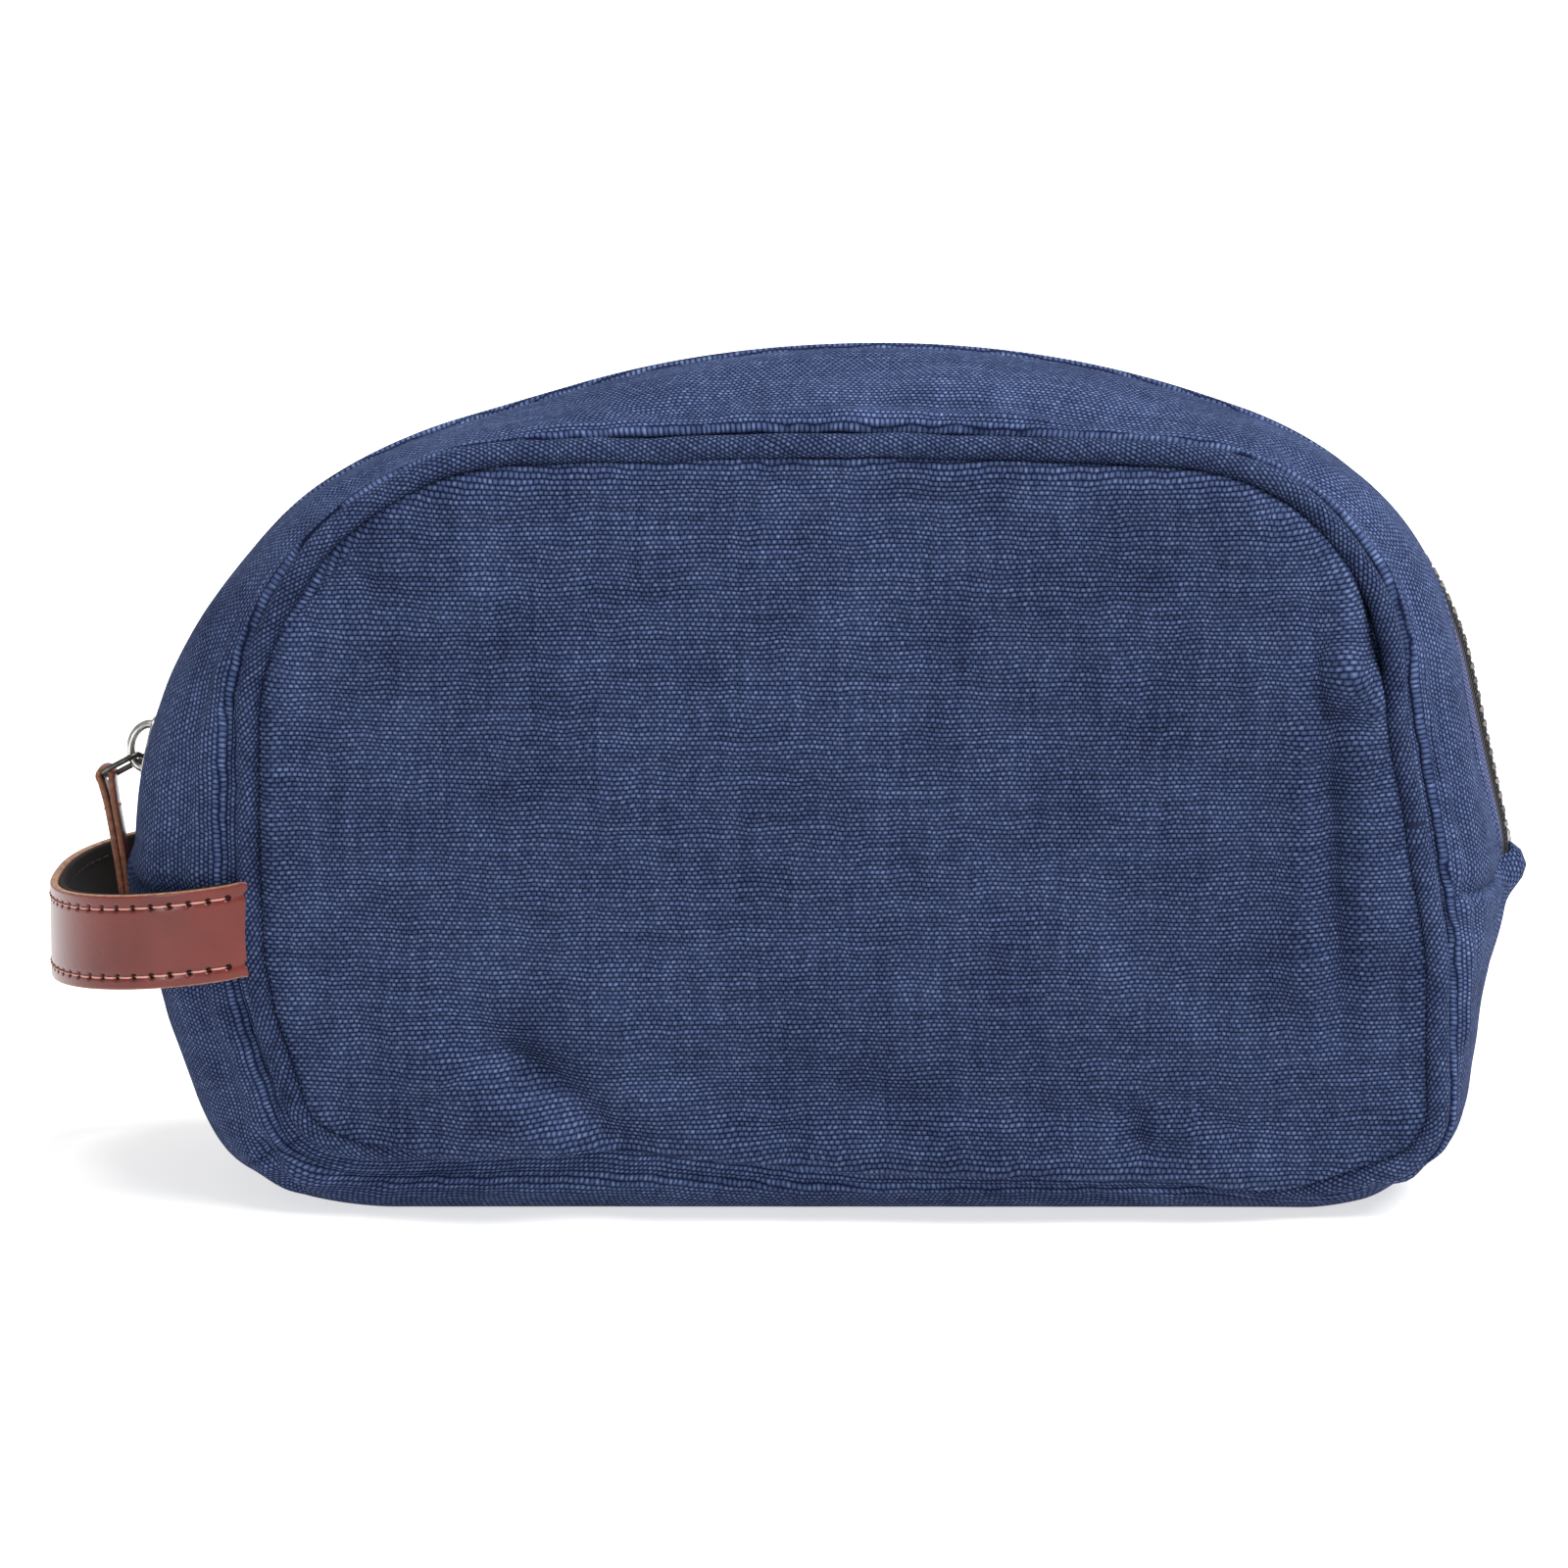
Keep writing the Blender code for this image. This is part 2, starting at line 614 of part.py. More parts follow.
def make_tab(mats, x, z):
    """The leather tab that is folded over the link's far bar, at (x, z), and hangs from it."""
    axis = frame_empty("tab_axis", x, z, TAB_ANGLE)
    half = TAB_THICKNESS / 2
    head = [
        (-TAB_HEAD * math.cos(a), TAB_HEAD * math.sin(a))
        for a in np.radians(np.linspace(-120, 120, 9))
    ]
    outline = [
        *head,
        (5.5, half),
        (TAB_LENGTH - 2, half),
        (TAB_LENGTH, half - 0.5),
        (TAB_LENGTH, 0.5 - half),
        (TAB_LENGTH - 2, -half),
        (5.5, -half),
    ]
    width = TAB_HALF_WIDTH
    tab = prism("pull_tab", mats["leather"], outline, -width, width, axis)
    turns = np.radians(np.arange(0, 360, 36))
    eye_outline = [(TAB_EYE * math.cos(a), TAB_EYE * math.sin(a)) for a in turns]
    eye = prism("tab_eye", mats["leather"], eye_outline, -width - 1, width + 1, axis)
    combine(tab, eye, "DIFFERENCE")


def loop_place(turn):
    """The strap's outer face in plan, as (x, y), and the height of its middle, at a turn in radians."""
    cos, sin = max(0.0, math.cos(turn)), math.sin(turn)
    power = 2 / LOOP_POWER
    x = LOOP_START_X - LOOP_REACH * cos**power
    y = LOOP_HALF_SPAN * math.copysign(abs(sin) ** power, sin)
    return x, y, LOOP_Z - LOOP_SAG * cos


def make_carrying_loop(mats):
    """The leather strap and its dark backing, sewn into the seams at the left end."""
    turns = [math.pi / 2 * math.sin(math.pi / 2 * t) for t in np.linspace(-1, 1, LOOP_STEPS + 1)]
    path = [Vector(loop_place(t)) for t in turns]
    layers = (
        ("handle_strap", mats["leather"], 0.0, LEATHER),
        ("handle_backing", mats["backing"], LEATHER + 0.3, LEATHER + 0.3 + BACKING),
    )
    for name, leather, outer, inner in layers:
        rows = []
        for index, place in enumerate(path):
            before, after = path[max(index - 1, 0)], path[min(index + 1, len(path) - 1)]
            along = (after - before).to_2d()
            if index in (0, len(path) - 1):
                along = Vector((-1.0 if index == 0 else 1.0, 0.0))
            inward = Vector((along.y, -along.x)).normalized()
            row = []
            for depth, lift in ((outer, -1), (outer, 1), (inner, 1), (inner, -1)):
                flat = place.to_2d() + inward * depth
                row.append(Vector((flat.x, flat.y, place.z + lift * LOOP_WIDTH / 2)))
            rows.append(row)
        skin(name, leather, rows)


def main():
    for found in list(bpy.data.objects):
        bpy.data.objects.remove(found, do_unlink=True)
    mats = make_materials()
    make_panels(mats)
    make_band(mats)
    make_zip_halves(mats)
    centre, track = make_slider(mats)
    make_tab(mats, *make_link(mats, centre, track))
    make_carrying_loop(mats)


main()
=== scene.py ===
"""The looks of a washed navy canvas shaving kit bag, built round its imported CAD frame.

Each cloth, leather, cord and zip piece is swept or spread over the same outlines as the CAD part,
at a much finer pitch, and is then dented and creased. Lengths are in millimetres until mesh().
"""

import math

import bmesh
import bpy
import numpy as np
from mathutils import Matrix, Vector

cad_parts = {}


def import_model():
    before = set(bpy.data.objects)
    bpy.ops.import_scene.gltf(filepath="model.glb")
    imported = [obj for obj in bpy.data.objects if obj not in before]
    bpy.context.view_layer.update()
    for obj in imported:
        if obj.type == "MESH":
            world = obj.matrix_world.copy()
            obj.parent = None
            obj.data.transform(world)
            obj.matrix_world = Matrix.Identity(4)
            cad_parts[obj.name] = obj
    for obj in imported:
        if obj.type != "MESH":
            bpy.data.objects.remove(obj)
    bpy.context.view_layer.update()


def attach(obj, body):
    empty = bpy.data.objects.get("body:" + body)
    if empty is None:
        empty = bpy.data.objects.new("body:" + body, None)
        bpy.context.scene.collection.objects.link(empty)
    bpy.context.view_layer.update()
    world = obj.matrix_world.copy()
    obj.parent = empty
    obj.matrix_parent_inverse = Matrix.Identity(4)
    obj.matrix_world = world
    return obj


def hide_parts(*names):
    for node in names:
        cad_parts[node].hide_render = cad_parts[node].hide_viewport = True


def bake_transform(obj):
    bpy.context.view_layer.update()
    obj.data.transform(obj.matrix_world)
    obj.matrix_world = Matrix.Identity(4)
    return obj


MM = 0.001
FRONT, BACK = -1, 1

# The outlines of the bag in the plane of the zip and of the seam round each panel, as corners
# (x, z, fillet radius), anticlockwise from the bottom left as seen from the front.
MIDDLE_CORNERS = (
    (-117.3, 0.0, 24.0),
    (119.9, 0.0, 24.0),
    (130.5, 62.1, 35.0),
    (114.3, 133.0, 68.4),
    (14.4, 166.2, 205.0),
    (-145.2, 121.4, 84.3),
)
SEAM_CORNERS = (
    (-94.0, 10.5, 14.0),
    (112.0, 9.0, 12.0),
    (111.3, 50.0, 60.0),
    (103.0, 95.0, 60.0),
    (101.6, 138.6, 42.0),
    (0.0, 143.2, 1000.0),
    (-105.2, 139.0, 52.0),
    (-104.8, 46.0, 60.0),
)
HUB = np.array((0.0, 74.0))
HALF_DEPTH = 48.0
ZIP_CORNER = 5

# How far the bottom of the seam is pulled up or down by what the bag holds, at points along X.
SEAM_LIFT_X = (-104.0, -85.0, -40.0, 10.0, 60.0, 86.0, 104.0)
SEAM_LIFT_Z = (0.0, 2.7, 4.8, 1.2, 0.4, -3.0, 0.0)

CANVAS_THICKNESS = 1.2
ZIP_EDGE = 8.5
PANEL_CROWN = 7.0
CORD_RADIUS = 2.25
TOOTH_PITCH = 2.8
TEETH_DEPTH = 1.1
STANDING = 1.75


# ---------------------------------------------------------------- outlines and the gusset surface


def fillet(corner, before, after, radius):
    """Points on the arc that rounds a corner, and the arc's centre."""
    before = (before - corner) / np.linalg.norm(before - corner)
    after = (after - corner) / np.linalg.norm(after - corner)
    half = math.acos(float(before @ after)) / 2
    middle = before + after
    centre = corner + middle / np.linalg.norm(middle) * radius / math.sin(half)
    start = corner + before * radius / math.tan(half) - centre
    left_turn = 1 if before[1] * after[0] > before[0] * after[1] else -1
    turns = np.linspace(0, (math.pi - 2 * half) * left_turn, 60)
    cos, sin = np.cos(turns), np.sin(turns)
    arc = np.stack((start[0] * cos - start[1] * sin, start[0] * sin + start[1] * cos), 1)
    return centre + arc, centre


def outline(corners):
    """Angles about the hub and radii of a filleted outline, over one turn and a bit more."""
    spots = [np.array(c[:2]) for c in corners]
    arcs = []
    for i, corner in enumerate(corners):
        after = spots[(i + 1) % len(spots)]
        arcs.append(fillet(spots[i], spots[i - 1], after, corner[2])[0])
    points = np.concatenate(arcs)
    dense = []
    for start, end in zip(points, np.roll(points, -1, axis=0)):
        parts = max(1, int(np.linalg.norm(end - start) / 0.6))
        dense += [start + (end - start) * k / parts for k in range(parts)]
    away = np.array(dense) - HUB
    angles = np.mod(np.arctan2(away[:, 1], away[:, 0]), 2 * math.pi)
    order = np.argsort(angles)
    return angles[order], np.linalg.norm(away, axis=1)[order]


MIDDLE, SEAM = outline(MIDDLE_CORNERS), outline(SEAM_CORNERS)


def on_outline(which, angle):
    """The (x, z) points of an outline at these angles about the hub."""
    radius = np.interp(np.asarray(angle), *which, period=2 * math.pi)
    return np.stack((HUB[0] + radius * np.cos(angle), HUB[1] + radius * np.sin(angle)), -1)


def ramp(value, low, high):
    """0 up to low, 1 from high on, and smooth between them. low may be above high."""
    t = np.clip((value - low) / (high - low), 0, 1)
    return t * t * (3 - 2 * t)


def hump(value, centre, width):
    return np.exp(-(((value - centre) / width) ** 2))


def seam_line(angle, back):
    """The seam outline, lifted and dropped below, and slumped over the top where back is 1."""
    points = on_outline(SEAM, angle)
    x, z = points[..., 0], points[..., 1]
    lift = smooth_interp(x, SEAM_LIFT_X, SEAM_LIFT_Z) * ramp(z, 30, 14)
    slump = (3.0 + 4.5 * hump(x, -76, 40) + 3.0 * hump(x, 74, 32)) * ramp(z, 85, 128)
    points[..., 1] += lift - slump * back
    return points


def smooth_interp(x, xs, ys):
    """Interpolation that eases in and out at each of the given points."""
    xs, ys = np.array(xs), np.array(ys)
    i = np.clip(np.searchsorted(xs, x) - 1, 0, len(xs) - 2)
    t = np.clip((x - xs[i]) / (xs[i + 1] - xs[i]), 0, 1)
    t = t * t * (3 - 2 * t)
    return ys[i] * (1 - t) + ys[i + 1] * t


def waves(points, size, seed):
    """Smooth noise in about -1..1, with bumps of the given size."""
    rng = np.random.default_rng(seed)
    total = np.zeros(points.shape[:-1])
    for _ in range(14):
        direction = rng.normal(size=points.shape[-1])
        direction /= np.linalg.norm(direction)
        rate = 2 * math.pi / (size * rng.uniform(1.0, 2.4))
        total += np.sin(points @ (direction * rate) + rng.uniform(0, 2 * math.pi))
    return total / 4.2


def bulge(angle, y):
    """How far the gusset has swelled from the seam line to the middle outline, from 0 to 1."""
    v = np.abs(y) / HALF_DEPTH
    away = np.abs(np.mod(angle - math.radians(270) + math.pi, 2 * math.pi) - math.pi)
    base = ramp(away, math.radians(66), math.radians(50))
    left = hump(np.mod(angle, 2 * math.pi) - math.pi, 0.0, 0.5)
    round_side = 1 - np.clip((v - 0.07) / 0.93, 0, 1) ** (2.5 + 1.2 * left)
    flat_base = np.minimum(1, 1.06 * (1 - v**11))
    turned = np.mod(angle + math.pi, 2 * math.pi) - math.pi
    tent = hump(turned, 0.10, 0.34) * 0.8
    tented = 0.63 * (1 - np.clip(v, 0, 1) ** 4.5) + 0.37 * ramp(np.abs(y), 12, 2.6)
    side = round_side * (1 - tent) + tented * tent
    side = side - 0.10 * ramp(y, 4, 22) * hump(turned, 1.6, 0.75)
    return side * (1 - base) + flat_base * base


# Beside the piping the cloth puffs out a little and dives under the cord: at these shares of the
# half depth, how far it moves towards the panel, and how far out of the bag.
PUFF_V = (0.74, 0.83, 0.90, 0.94, 0.965, 1.0)
PUFF_Y = (0.0, 0.0, 0.3, 0.1, -1.3, -1.0)
PUFF_OUT = (0.0, -0.3, 0.9, 1.1, 0.2, -2.6)


def gusset_base(angle, y):
    """Points on the gusset's outer face, before it is creased."""
    angle, y = np.broadcast_arrays(np.asarray(angle, float), np.asarray(y, float))
    seam = seam_line(angle, (y > 0).astype(float))
    middle = on_outline(MIDDLE, angle)
    x, z = middle[..., 0].copy(), middle[..., 1].copy()
    left, right = ramp(x, -95, -112), ramp(x, 95, 115)
    middle[..., 0] += left * (2.8 * ramp(z, 62, 40) + 1.1 * ramp(z, 60, 66) + 1.6 * ramp(z, 35, 12))
    middle[..., 0] -= right * (1.6 * ramp(z, 61, 52) + 2.2 * ramp(z, 50, 30))
    high = ramp(z, 90, 120)
    middle[..., 1] -= 0.8 * ramp(z, 122, 145) + high * (0.5 * hump(x, 80, 22) + 0.7 * hump(x, -78, 28))
    flat = seam + (middle - seam) * bulge(angle, y)[..., None]
    v = np.abs(y) / HALF_DEPTH
    away = flat - HUB
    away /= np.linalg.norm(away, axis=-1, keepdims=True)
    above = ramp(flat[..., 1], 2.0, 14.0)
    flat = flat + away * (smooth_interp(v, PUFF_V, PUFF_OUT) * above)[..., None]
    # The four lower corners of the bag are lifted and rounded by what it holds.
    lifted = ramp(np.abs(y), 18, 46) * ramp(np.abs(flat[..., 0] - 4), 84, 108)
    flat[..., 1] += 3.4 * lifted * ramp(flat[..., 1], 16, 3)
    flat[..., 1] += STANDING * ramp(flat[..., 1], 10, 0)
    y = y + np.sign(y) * smooth_interp(v, PUFF_V, PUFF_Y) * (0.35 + 0.65 * above)
    return np.stack((flat[..., 0], y, flat[..., 1]), -1)


def gusset_normal(angle, y):
    e = 0.006
    around = gusset_base(angle + e, y) - gusset_base(angle - e, y)
    across = gusset_base(angle, y + 0.4) - gusset_base(angle, y - 0.4)
    normal = np.cross(across, around)
    return normal / np.linalg.norm(normal, axis=-1, keepdims=True)


def crease(points, start, end, width, height):
    """A ridge (or a valley, where height is negative) from start to end, fading at both ends."""
    start, end = np.array(start, float), np.array(end, float)
    along = end - start
    t = ((points - start) @ along) / (along @ along)
    off = points - start - np.clip(t, 0, 1)[..., None] * along
    fade = ramp(t, -0.1, 0.3) * ramp(t, 1.1, 0.7)
    return height * fade * np.exp(-(off**2).sum(-1) / width**2)


GUSSET_CREASES = (
    ((-40, -42, 147), (-8, -34, 152), 6, -1.6),
    ((-62, -40, 145), (-30, -44, 146), 5, 0.9),
    ((-30, -30, 153), (20, -26, 156), 8, -0.9),
    ((40, -40, 147), (75, -34, 146), 5, -0.8),
    ((84, -30, 143), (92, -44, 132), 4, -1.6),
    ((-115, -26, 92), (-116, -28, 58), 5, 1.6),
    ((-104, -44, 92), (-104, -44, 58), 4, -1.2),
    ((-124, -20, 57), (-106, -44, 56), 3.5, -1.0),
    ((-90, -36, 130), (-74, -30, 143), 6, -0.9),
    ((106, -44, 96), (112, -44, 60), 4, -1.0),
    ((118, -36, 58), (112, -44, 30), 5, 1.2),
    ((-104, -46, 17), (-96, -38, 3), 3, -2.4),
    ((-110, -40, 12), (-92, -44, 7), 3, 1.5),
    ((104, -46, 10), (112, -36, 4), 3, 1.6),
    ((-60, -46, 6), (-20, -47, 8), 5, 0.9),
    ((10, -46, 5), (60, -47, 4), 5, -0.8),
    ((60, -46, 4), (96, -47, 4), 4, 1.0),
)


def gusset(angle, y, depth=0.0):
    """Points a depth inside the creased gusset, which is symmetric but for its creases."""
    angle, y = np.broadcast_arrays(np.asarray(angle, float), np.asarray(y, float))
    base = gusset_base(angle, y)
    # The back is creased like the front, turned end for end.
    spot = base.copy()
    spot[..., 0] = np.where(y > 0, -base[..., 0] * 0.98, base[..., 0])
    spot[..., 1] = -np.abs(base[..., 1])
    free = ramp(np.abs(y), 12, 26) * ramp(base[..., 2], 1.0, 8.0)
    free = free * (0.1 + 0.9 * ramp(HALF_DEPTH - np.abs(y), 1.0, 5.0))
    off = sum(crease(spot, *c) for c in GUSSET_CREASES)
    off = off + 0.45 * waves(base, 26, 3) + 0.20 * waves(base, 9, 4)
    near_seam = ramp(np.abs(y), HALF_DEPTH - 13, HALF_DEPTH - 3)
    off = off + 0.35 * near_seam * waves(base * (1.0, 0.25, 1.0), 7, 5)
    normal = gusset_normal(angle, y)
    return base + normal * (off * free - depth)[..., None]


def angle_at(z, right):
    """The angle at which the middle outline's end is at this height."""
    low, high = (-0.75, 0.4) if right else (math.pi + 0.75, math.pi - 0.4)
    for _ in range(40):
        middle = (low + high) / 2
        low, high = (middle, high) if on_outline(MIDDLE, middle)[1] < z else (low, middle)
    return low


def even_angles(start, end, step):
    """Angles from start to end at an even pitch along the middle outline."""
    angles = np.linspace(start, end, 4000)
    points = on_outline(MIDDLE, angles)
    run = np.concatenate(([0], np.cumsum(np.linalg.norm(np.diff(points, axis=0), axis=1))))
    count = max(2, int(run[-1] / step) + 1)
    return np.interp(np.linspace(0, run[-1], count), run, angles)


# ---------------------------------------------------------------- meshes


def mesh(name, points, faces, material, uv=None, masks=None):
    """A smooth mesh object from points in millimetres, with a UV map in metres."""
    made = bpy.data.meshes.new(name)
    made.from_pydata((np.asarray(points) * MM).tolist(), [], faces)
    made.materials.append(material)
    if uv is not None:
        layer = made.uv_layers.new(name="UVMap")
        loops = np.zeros(len(made.loops), np.int64)
        made.loops.foreach_get("vertex_index", loops)
        layer.data.foreach_set("uv", (np.asarray(uv)[loops] * MM).ravel())
    for key, values in (masks or {}).items():
        made.attributes.new(key, "FLOAT", "POINT").data.foreach_set("value", values)
    made.shade_smooth()
    found = bpy.data.objects.new(name, made)
    bpy.context.scene.collection.objects.link(found)
    return found


def face_out(found):
    """Turn the faces of a piece made of closed shells outward."""
    shells = bmesh.new()
    shells.from_mesh(found.data)
    bmesh.ops.recalc_face_normals(shells, faces=shells.faces)
    shells.to_mesh(found.data)
    shells.free()
    return found


def grid_faces(rows, columns, closed_rows=False, closed_columns=False, flip=False):
    """Quads over a grid of points numbered row by row."""
    i = np.arange(rows if closed_rows else rows - 1)[:, None]
    j = np.arange(columns if closed_columns else columns - 1)[None, :]
    i2, j2 = (i + 1) % rows, (j + 1) % columns
    quads = np.stack(
        (
            i * columns + j,
            i2 * columns + j,
            i2 * columns + j2,
            i * columns + j2,
        ),
        -1,
    ).reshape(-1, 4)
    return (quads[:, ::-1] if flip else quads).tolist()


def run_lengths(points, axis):
    """Distance travelled along one axis of a grid of points."""
    steps = np.linalg.norm(np.diff(points, axis=axis), axis=-1)
    total = np.cumsum(steps, axis=axis)
    pad = [(0, 0), (0, 0)]
    pad[axis] = (1, 0)
    return np.pad(total, pad)


def thicken(found, thickness, offset=-1.0):
    modifier = found.modifiers.new("thickness", "SOLIDIFY")
    modifier.thickness = thickness * MM
    modifier.offset = offset
    modifier.use_even_offset = False
    return found


def cloth(name, material, points, thickness, flip=False):
    """A sheet of cloth through a grid of points, with its weave square to the grid."""
    rows, columns = points.shape[:2]
    along = run_lengths(points[:, columns // 2 : columns // 2 + 1], 0).repeat(columns, 1)
    across = run_lengths(points, 1)
    uv = np.stack((along, across), -1).reshape(-1, 2)
    faces = grid_faces(rows, columns, flip=flip)
    found = mesh(name, points.reshape(-1, 3), faces, material, uv)
    return thicken(found, thickness)


def sweep(name, material, path, sides, radius, closed=True, masks=None):
    """A tube along a path, given each section's two axes. radius holds (across, up) factors."""
    centres, first, second = path
    turns = np.linspace(0, 2 * math.pi, sides, endpoint=False)
    cos, sin = np.cos(turns) * radius[0], np.sin(turns) * radius[1]
    points = (
        centres[:, None] + first[:, None] * cos[None, :, None] + second[:, None] * sin[None, :, None]
    )
    run = run_lengths(centres[:, None], 0).repeat(sides, 1)
    around = np.broadcast_to(turns * (radius[0] + radius[1]) / 2, run.shape)
    faces = grid_faces(len(centres), sides, closed_rows=closed, closed_columns=True, flip=True)
    if not closed:
        last = (len(centres) - 1) * sides
        faces.append(list(range(sides)))
        faces.append([last + k for k in reversed(range(sides))])
    uv = np.stack((run, around), -1).reshape(-1, 2)
    return face_out(mesh(name, points.reshape(-1, 3), faces, material, uv, masks))


# ---------------------------------------------------------------- materials


class Shader:
    """A Principled material whose node tree is written as arithmetic."""

    def __init__(self, name, roughness, metallic=0.0, **plain):
        self.material = bpy.data.materials.new(name)
        self.material.use_nodes = True
        self.tree = self.material.node_tree
        self.body = self.tree.nodes["Principled BSDF"]
        self.body.inputs["Roughness"].default_value = roughness
        self.body.inputs["Metallic"].default_value = metallic
        for key, value in plain.items():
            self.body.inputs[key.replace("_", " ")].default_value = value

    def node(self, kind, output=0, settings=(), **inputs):
        made = self.tree.nodes.new(kind)
        for key, value in settings:
            setattr(made, key, value)
        for key, value in inputs.items():
            place = made.inputs[int(key[1:])] if key[1:].isdigit() else made.inputs[key]
            self.feed(place, value)
        return made.outputs[output]

    def feed(self, place, value):
        if isinstance(value, bpy.types.NodeSocket):
            self.tree.links.new(value, place)
        else:
            place.default_value = value

    def math(self, operation, *values):
        inputs = {f"_{i}": v for i, v in enumerate(values)}
        return self.node("ShaderNodeMath", settings=[("operation", operation)], **inputs)

    def add(self, a, b):
        return self.math("ADD", a, b)

    def times(self, a, b):
        return self.math("MULTIPLY", a, b)

    def noise(self, place, scale, detail=2.0):
        return self.node("ShaderNodeTexNoise", Vector=place, Scale=scale, Detail=detail)

    def random(self, place):
        settings = [("noise_dimensions", "2D")]
        return self.node("ShaderNodeTexWhiteNoise", settings=settings, Vector=place)

    def vector(self, x, y, z=0.0):
        return self.node("ShaderNodeCombineXYZ", X=x, Y=y, Z=z)

    def between(self, value, low, high, to_low=0.0, to_high=1.0):
        return self.node("ShaderNodeMapRange", _0=value, _1=low, _2=high, _3=to_low, _4=to_high)

    def mix(self, share, a, b):
        settings = [("data_type", "RGBA")]
        return self.node("ShaderNodeMix", output=2, settings=settings, _0=share, _6=a, _7=b)

    def attribute(self, name):
        return self.node("ShaderNodeAttribute", output=2, settings=[("attribute_name", name)])

    def colour(self, value):
        self.feed(self.body.inputs["Base Color"], value)

    def roughness(self, value):
        self.feed(self.body.inputs["Roughness"], value)

    def bump(self, height, distance, strength=1.0):
        made = self.node("ShaderNodeBump", Height=height, Distance=distance, Strength=strength)
        self.feed(self.body.inputs["Normal"], made)

    def uv(self):
        """The cloth's own two axes, in millimetres."""
        place = self.node("ShaderNodeTexCoord", output=2)
        split = self.node("ShaderNodeSeparateXYZ", Vector=place).node
        return self.times(split.outputs[0], 1000), self.times(split.outputs[1], 1000)


def rgba(red, green, blue, gain=1.0):
    """A colour given as it looks on a screen, 0 to 255, as linear light."""
    linear = [((c / 255 + 0.055) / 1.055) ** 2.4 for c in (red, green, blue)]
    return (*[c * gain for c in linear], 1.0)


def woven(name, dark, mid, pale, columns=0.99, rows=0.81, turn=0.0, gain=1.0):
    """Coarse plain-woven canvas with uneven threads, coloured by thread height: painted shade in the gaps
    between the threads and a painted highlight on their tops.
    """
    s = Shader(name, 0.92, Specular_IOR_Level=0.08)
    u, v = s.uv()
    if turn:
        cos, sin = math.cos(turn), math.sin(turn)
        u, v = s.add(s.times(u, cos), s.times(v, -sin)), s.add(s.times(u, sin), s.times(v, cos))
    place = s.vector(u, v)
    wander = s.between(s.noise(place, 0.11, 2.0), 0.3, 0.7, -0.42, 0.42)
    u, v = s.add(u, wander), s.add(v, s.times(wander, 0.8))
    row_place = s.times(v, 1 / rows)
    row = s.math("FLOOR", row_place)
    half = s.times(s.math("FLOORED_MODULO", row, 2.0), 0.5)
    column_place = s.add(s.times(u, 1 / columns), half)
    column = s.math("FLOOR", column_place)
    over = s.math("SINE", s.times(s.math("FRACT", row_place), math.pi))
    along = s.math("SINE", s.times(s.math("FRACT", column_place), math.pi))
    cell = s.random(s.vector(column, row))
    weft = s.noise(s.vector(s.times(u, 0.045), s.times(row, 0.83)), 1.0, 2.0)
    warp_column = s.math("FLOOR", s.times(u, 1 / columns))
    warp = s.noise(s.vector(s.times(warp_column, 0.71), s.times(v, 0.035)), 1.0, 2.0)
    height = s.times(
        s.math("POWER", over, 0.6),
        s.add(0.12, s.times(s.math("POWER", along, 0.6), s.between(cell, 0, 1, 0.68, 1.0))),
    )
    patch = s.noise(place, 0.07, 3.0)
    worn = s.noise(s.vector(s.times(u, 1.5), v), 0.014, 2.0)
    level = s.add(height, s.add(s.between(patch, 0.3, 0.7, -0.06, 0.07),
                                s.between(worn, 0.3, 0.7, -0.05, 0.06)))
    level = s.add(level, s.between(weft, 0.3, 0.7, -0.08, 0.08))
    level = s.add(level, s.between(s.noise(place, 1.9, 1.0), 0.25, 0.75, -0.14, 0.14))
    level = s.add(level, s.between(warp, 0.3, 0.7, -0.06, 0.06))
    dark, mid, pale = (rgba(*c, gain) for c in (dark, mid, pale))
    # The colour follows the thread height in level: dark is painted shade in the gaps, pale a painted
    # highlight on the thread tops, with random patches and streaks mixed in.
    tone = s.mix(s.between(level, 0.2, 0.85), dark, mid)
    tone = s.mix(s.between(level, 0.85, 1.3), tone, pale)
    fleck = s.noise(s.vector(s.times(u, 1.1), s.times(v, 2.6)), 0.9, 1.0)
    fleck = s.times(s.between(fleck, 0.73, 0.80), s.between(cell, 0.6, 0.75))
    s.colour(s.mix(s.times(fleck, 0.5), tone, rgba(140, 156, 190)))
    s.bump(height, 0.00038, 0.9)
    return s.material


def twill():
    """Navy zip tape, woven in a herringbone of fine diagonal ribs."""
    s = Shader("zip_tape_twill", 0.8, Sheen_Weight=0.1, Specular_IOR_Level=0.2)
    u, v = s.uv()
    chevron = s.math("PINGPONG", v, 3.2)
    rib = s.math("SINE", s.times(s.add(s.times(u, 1.0), s.times(chevron, 0.9)), 2 * math.pi / 0.9))
    fine = s.math("SINE", s.times(v, 2 * math.pi / 0.5))
    height = s.add(s.times(rib, 0.4), s.times(fine, 0.15))
    cloth_tone = s.mix(s.between(height, -0.5, 0.5), rgba(34, 40, 72), rgba(80, 88, 130))
    # Painted shade: the tape is coloured near black for its first 2.4 to 2.9 mm from the inner edge, beside
    # the teeth.
    s.colour(s.mix(s.between(v, 2.4, 2.9), rgba(9, 9, 14), cloth_tone))
    s.bump(height, 0.0002, 0.8)
    return s.material


def coated():
    """Smooth grey lining cloth with a fine thread and a little shine."""
    s = Shader("lining_cloth", 0.5, Sheen_Weight=0.05)
    u, v = s.uv()
    place = s.vector(u, v)
    threads = s.times(s.math("SINE", s.times(u, 9.0)), s.math("SINE", s.times(v, 9.0)))
    tone = s.mix(s.noise(place, 0.05, 3.0), rgba(62, 66, 76), rgba(84, 88, 98))
    s.colour(tone)
    s.bump(s.add(s.times(threads, 0.2), s.noise(place, 0.12, 3.0)), 0.0004, 0.5)
    return s.material


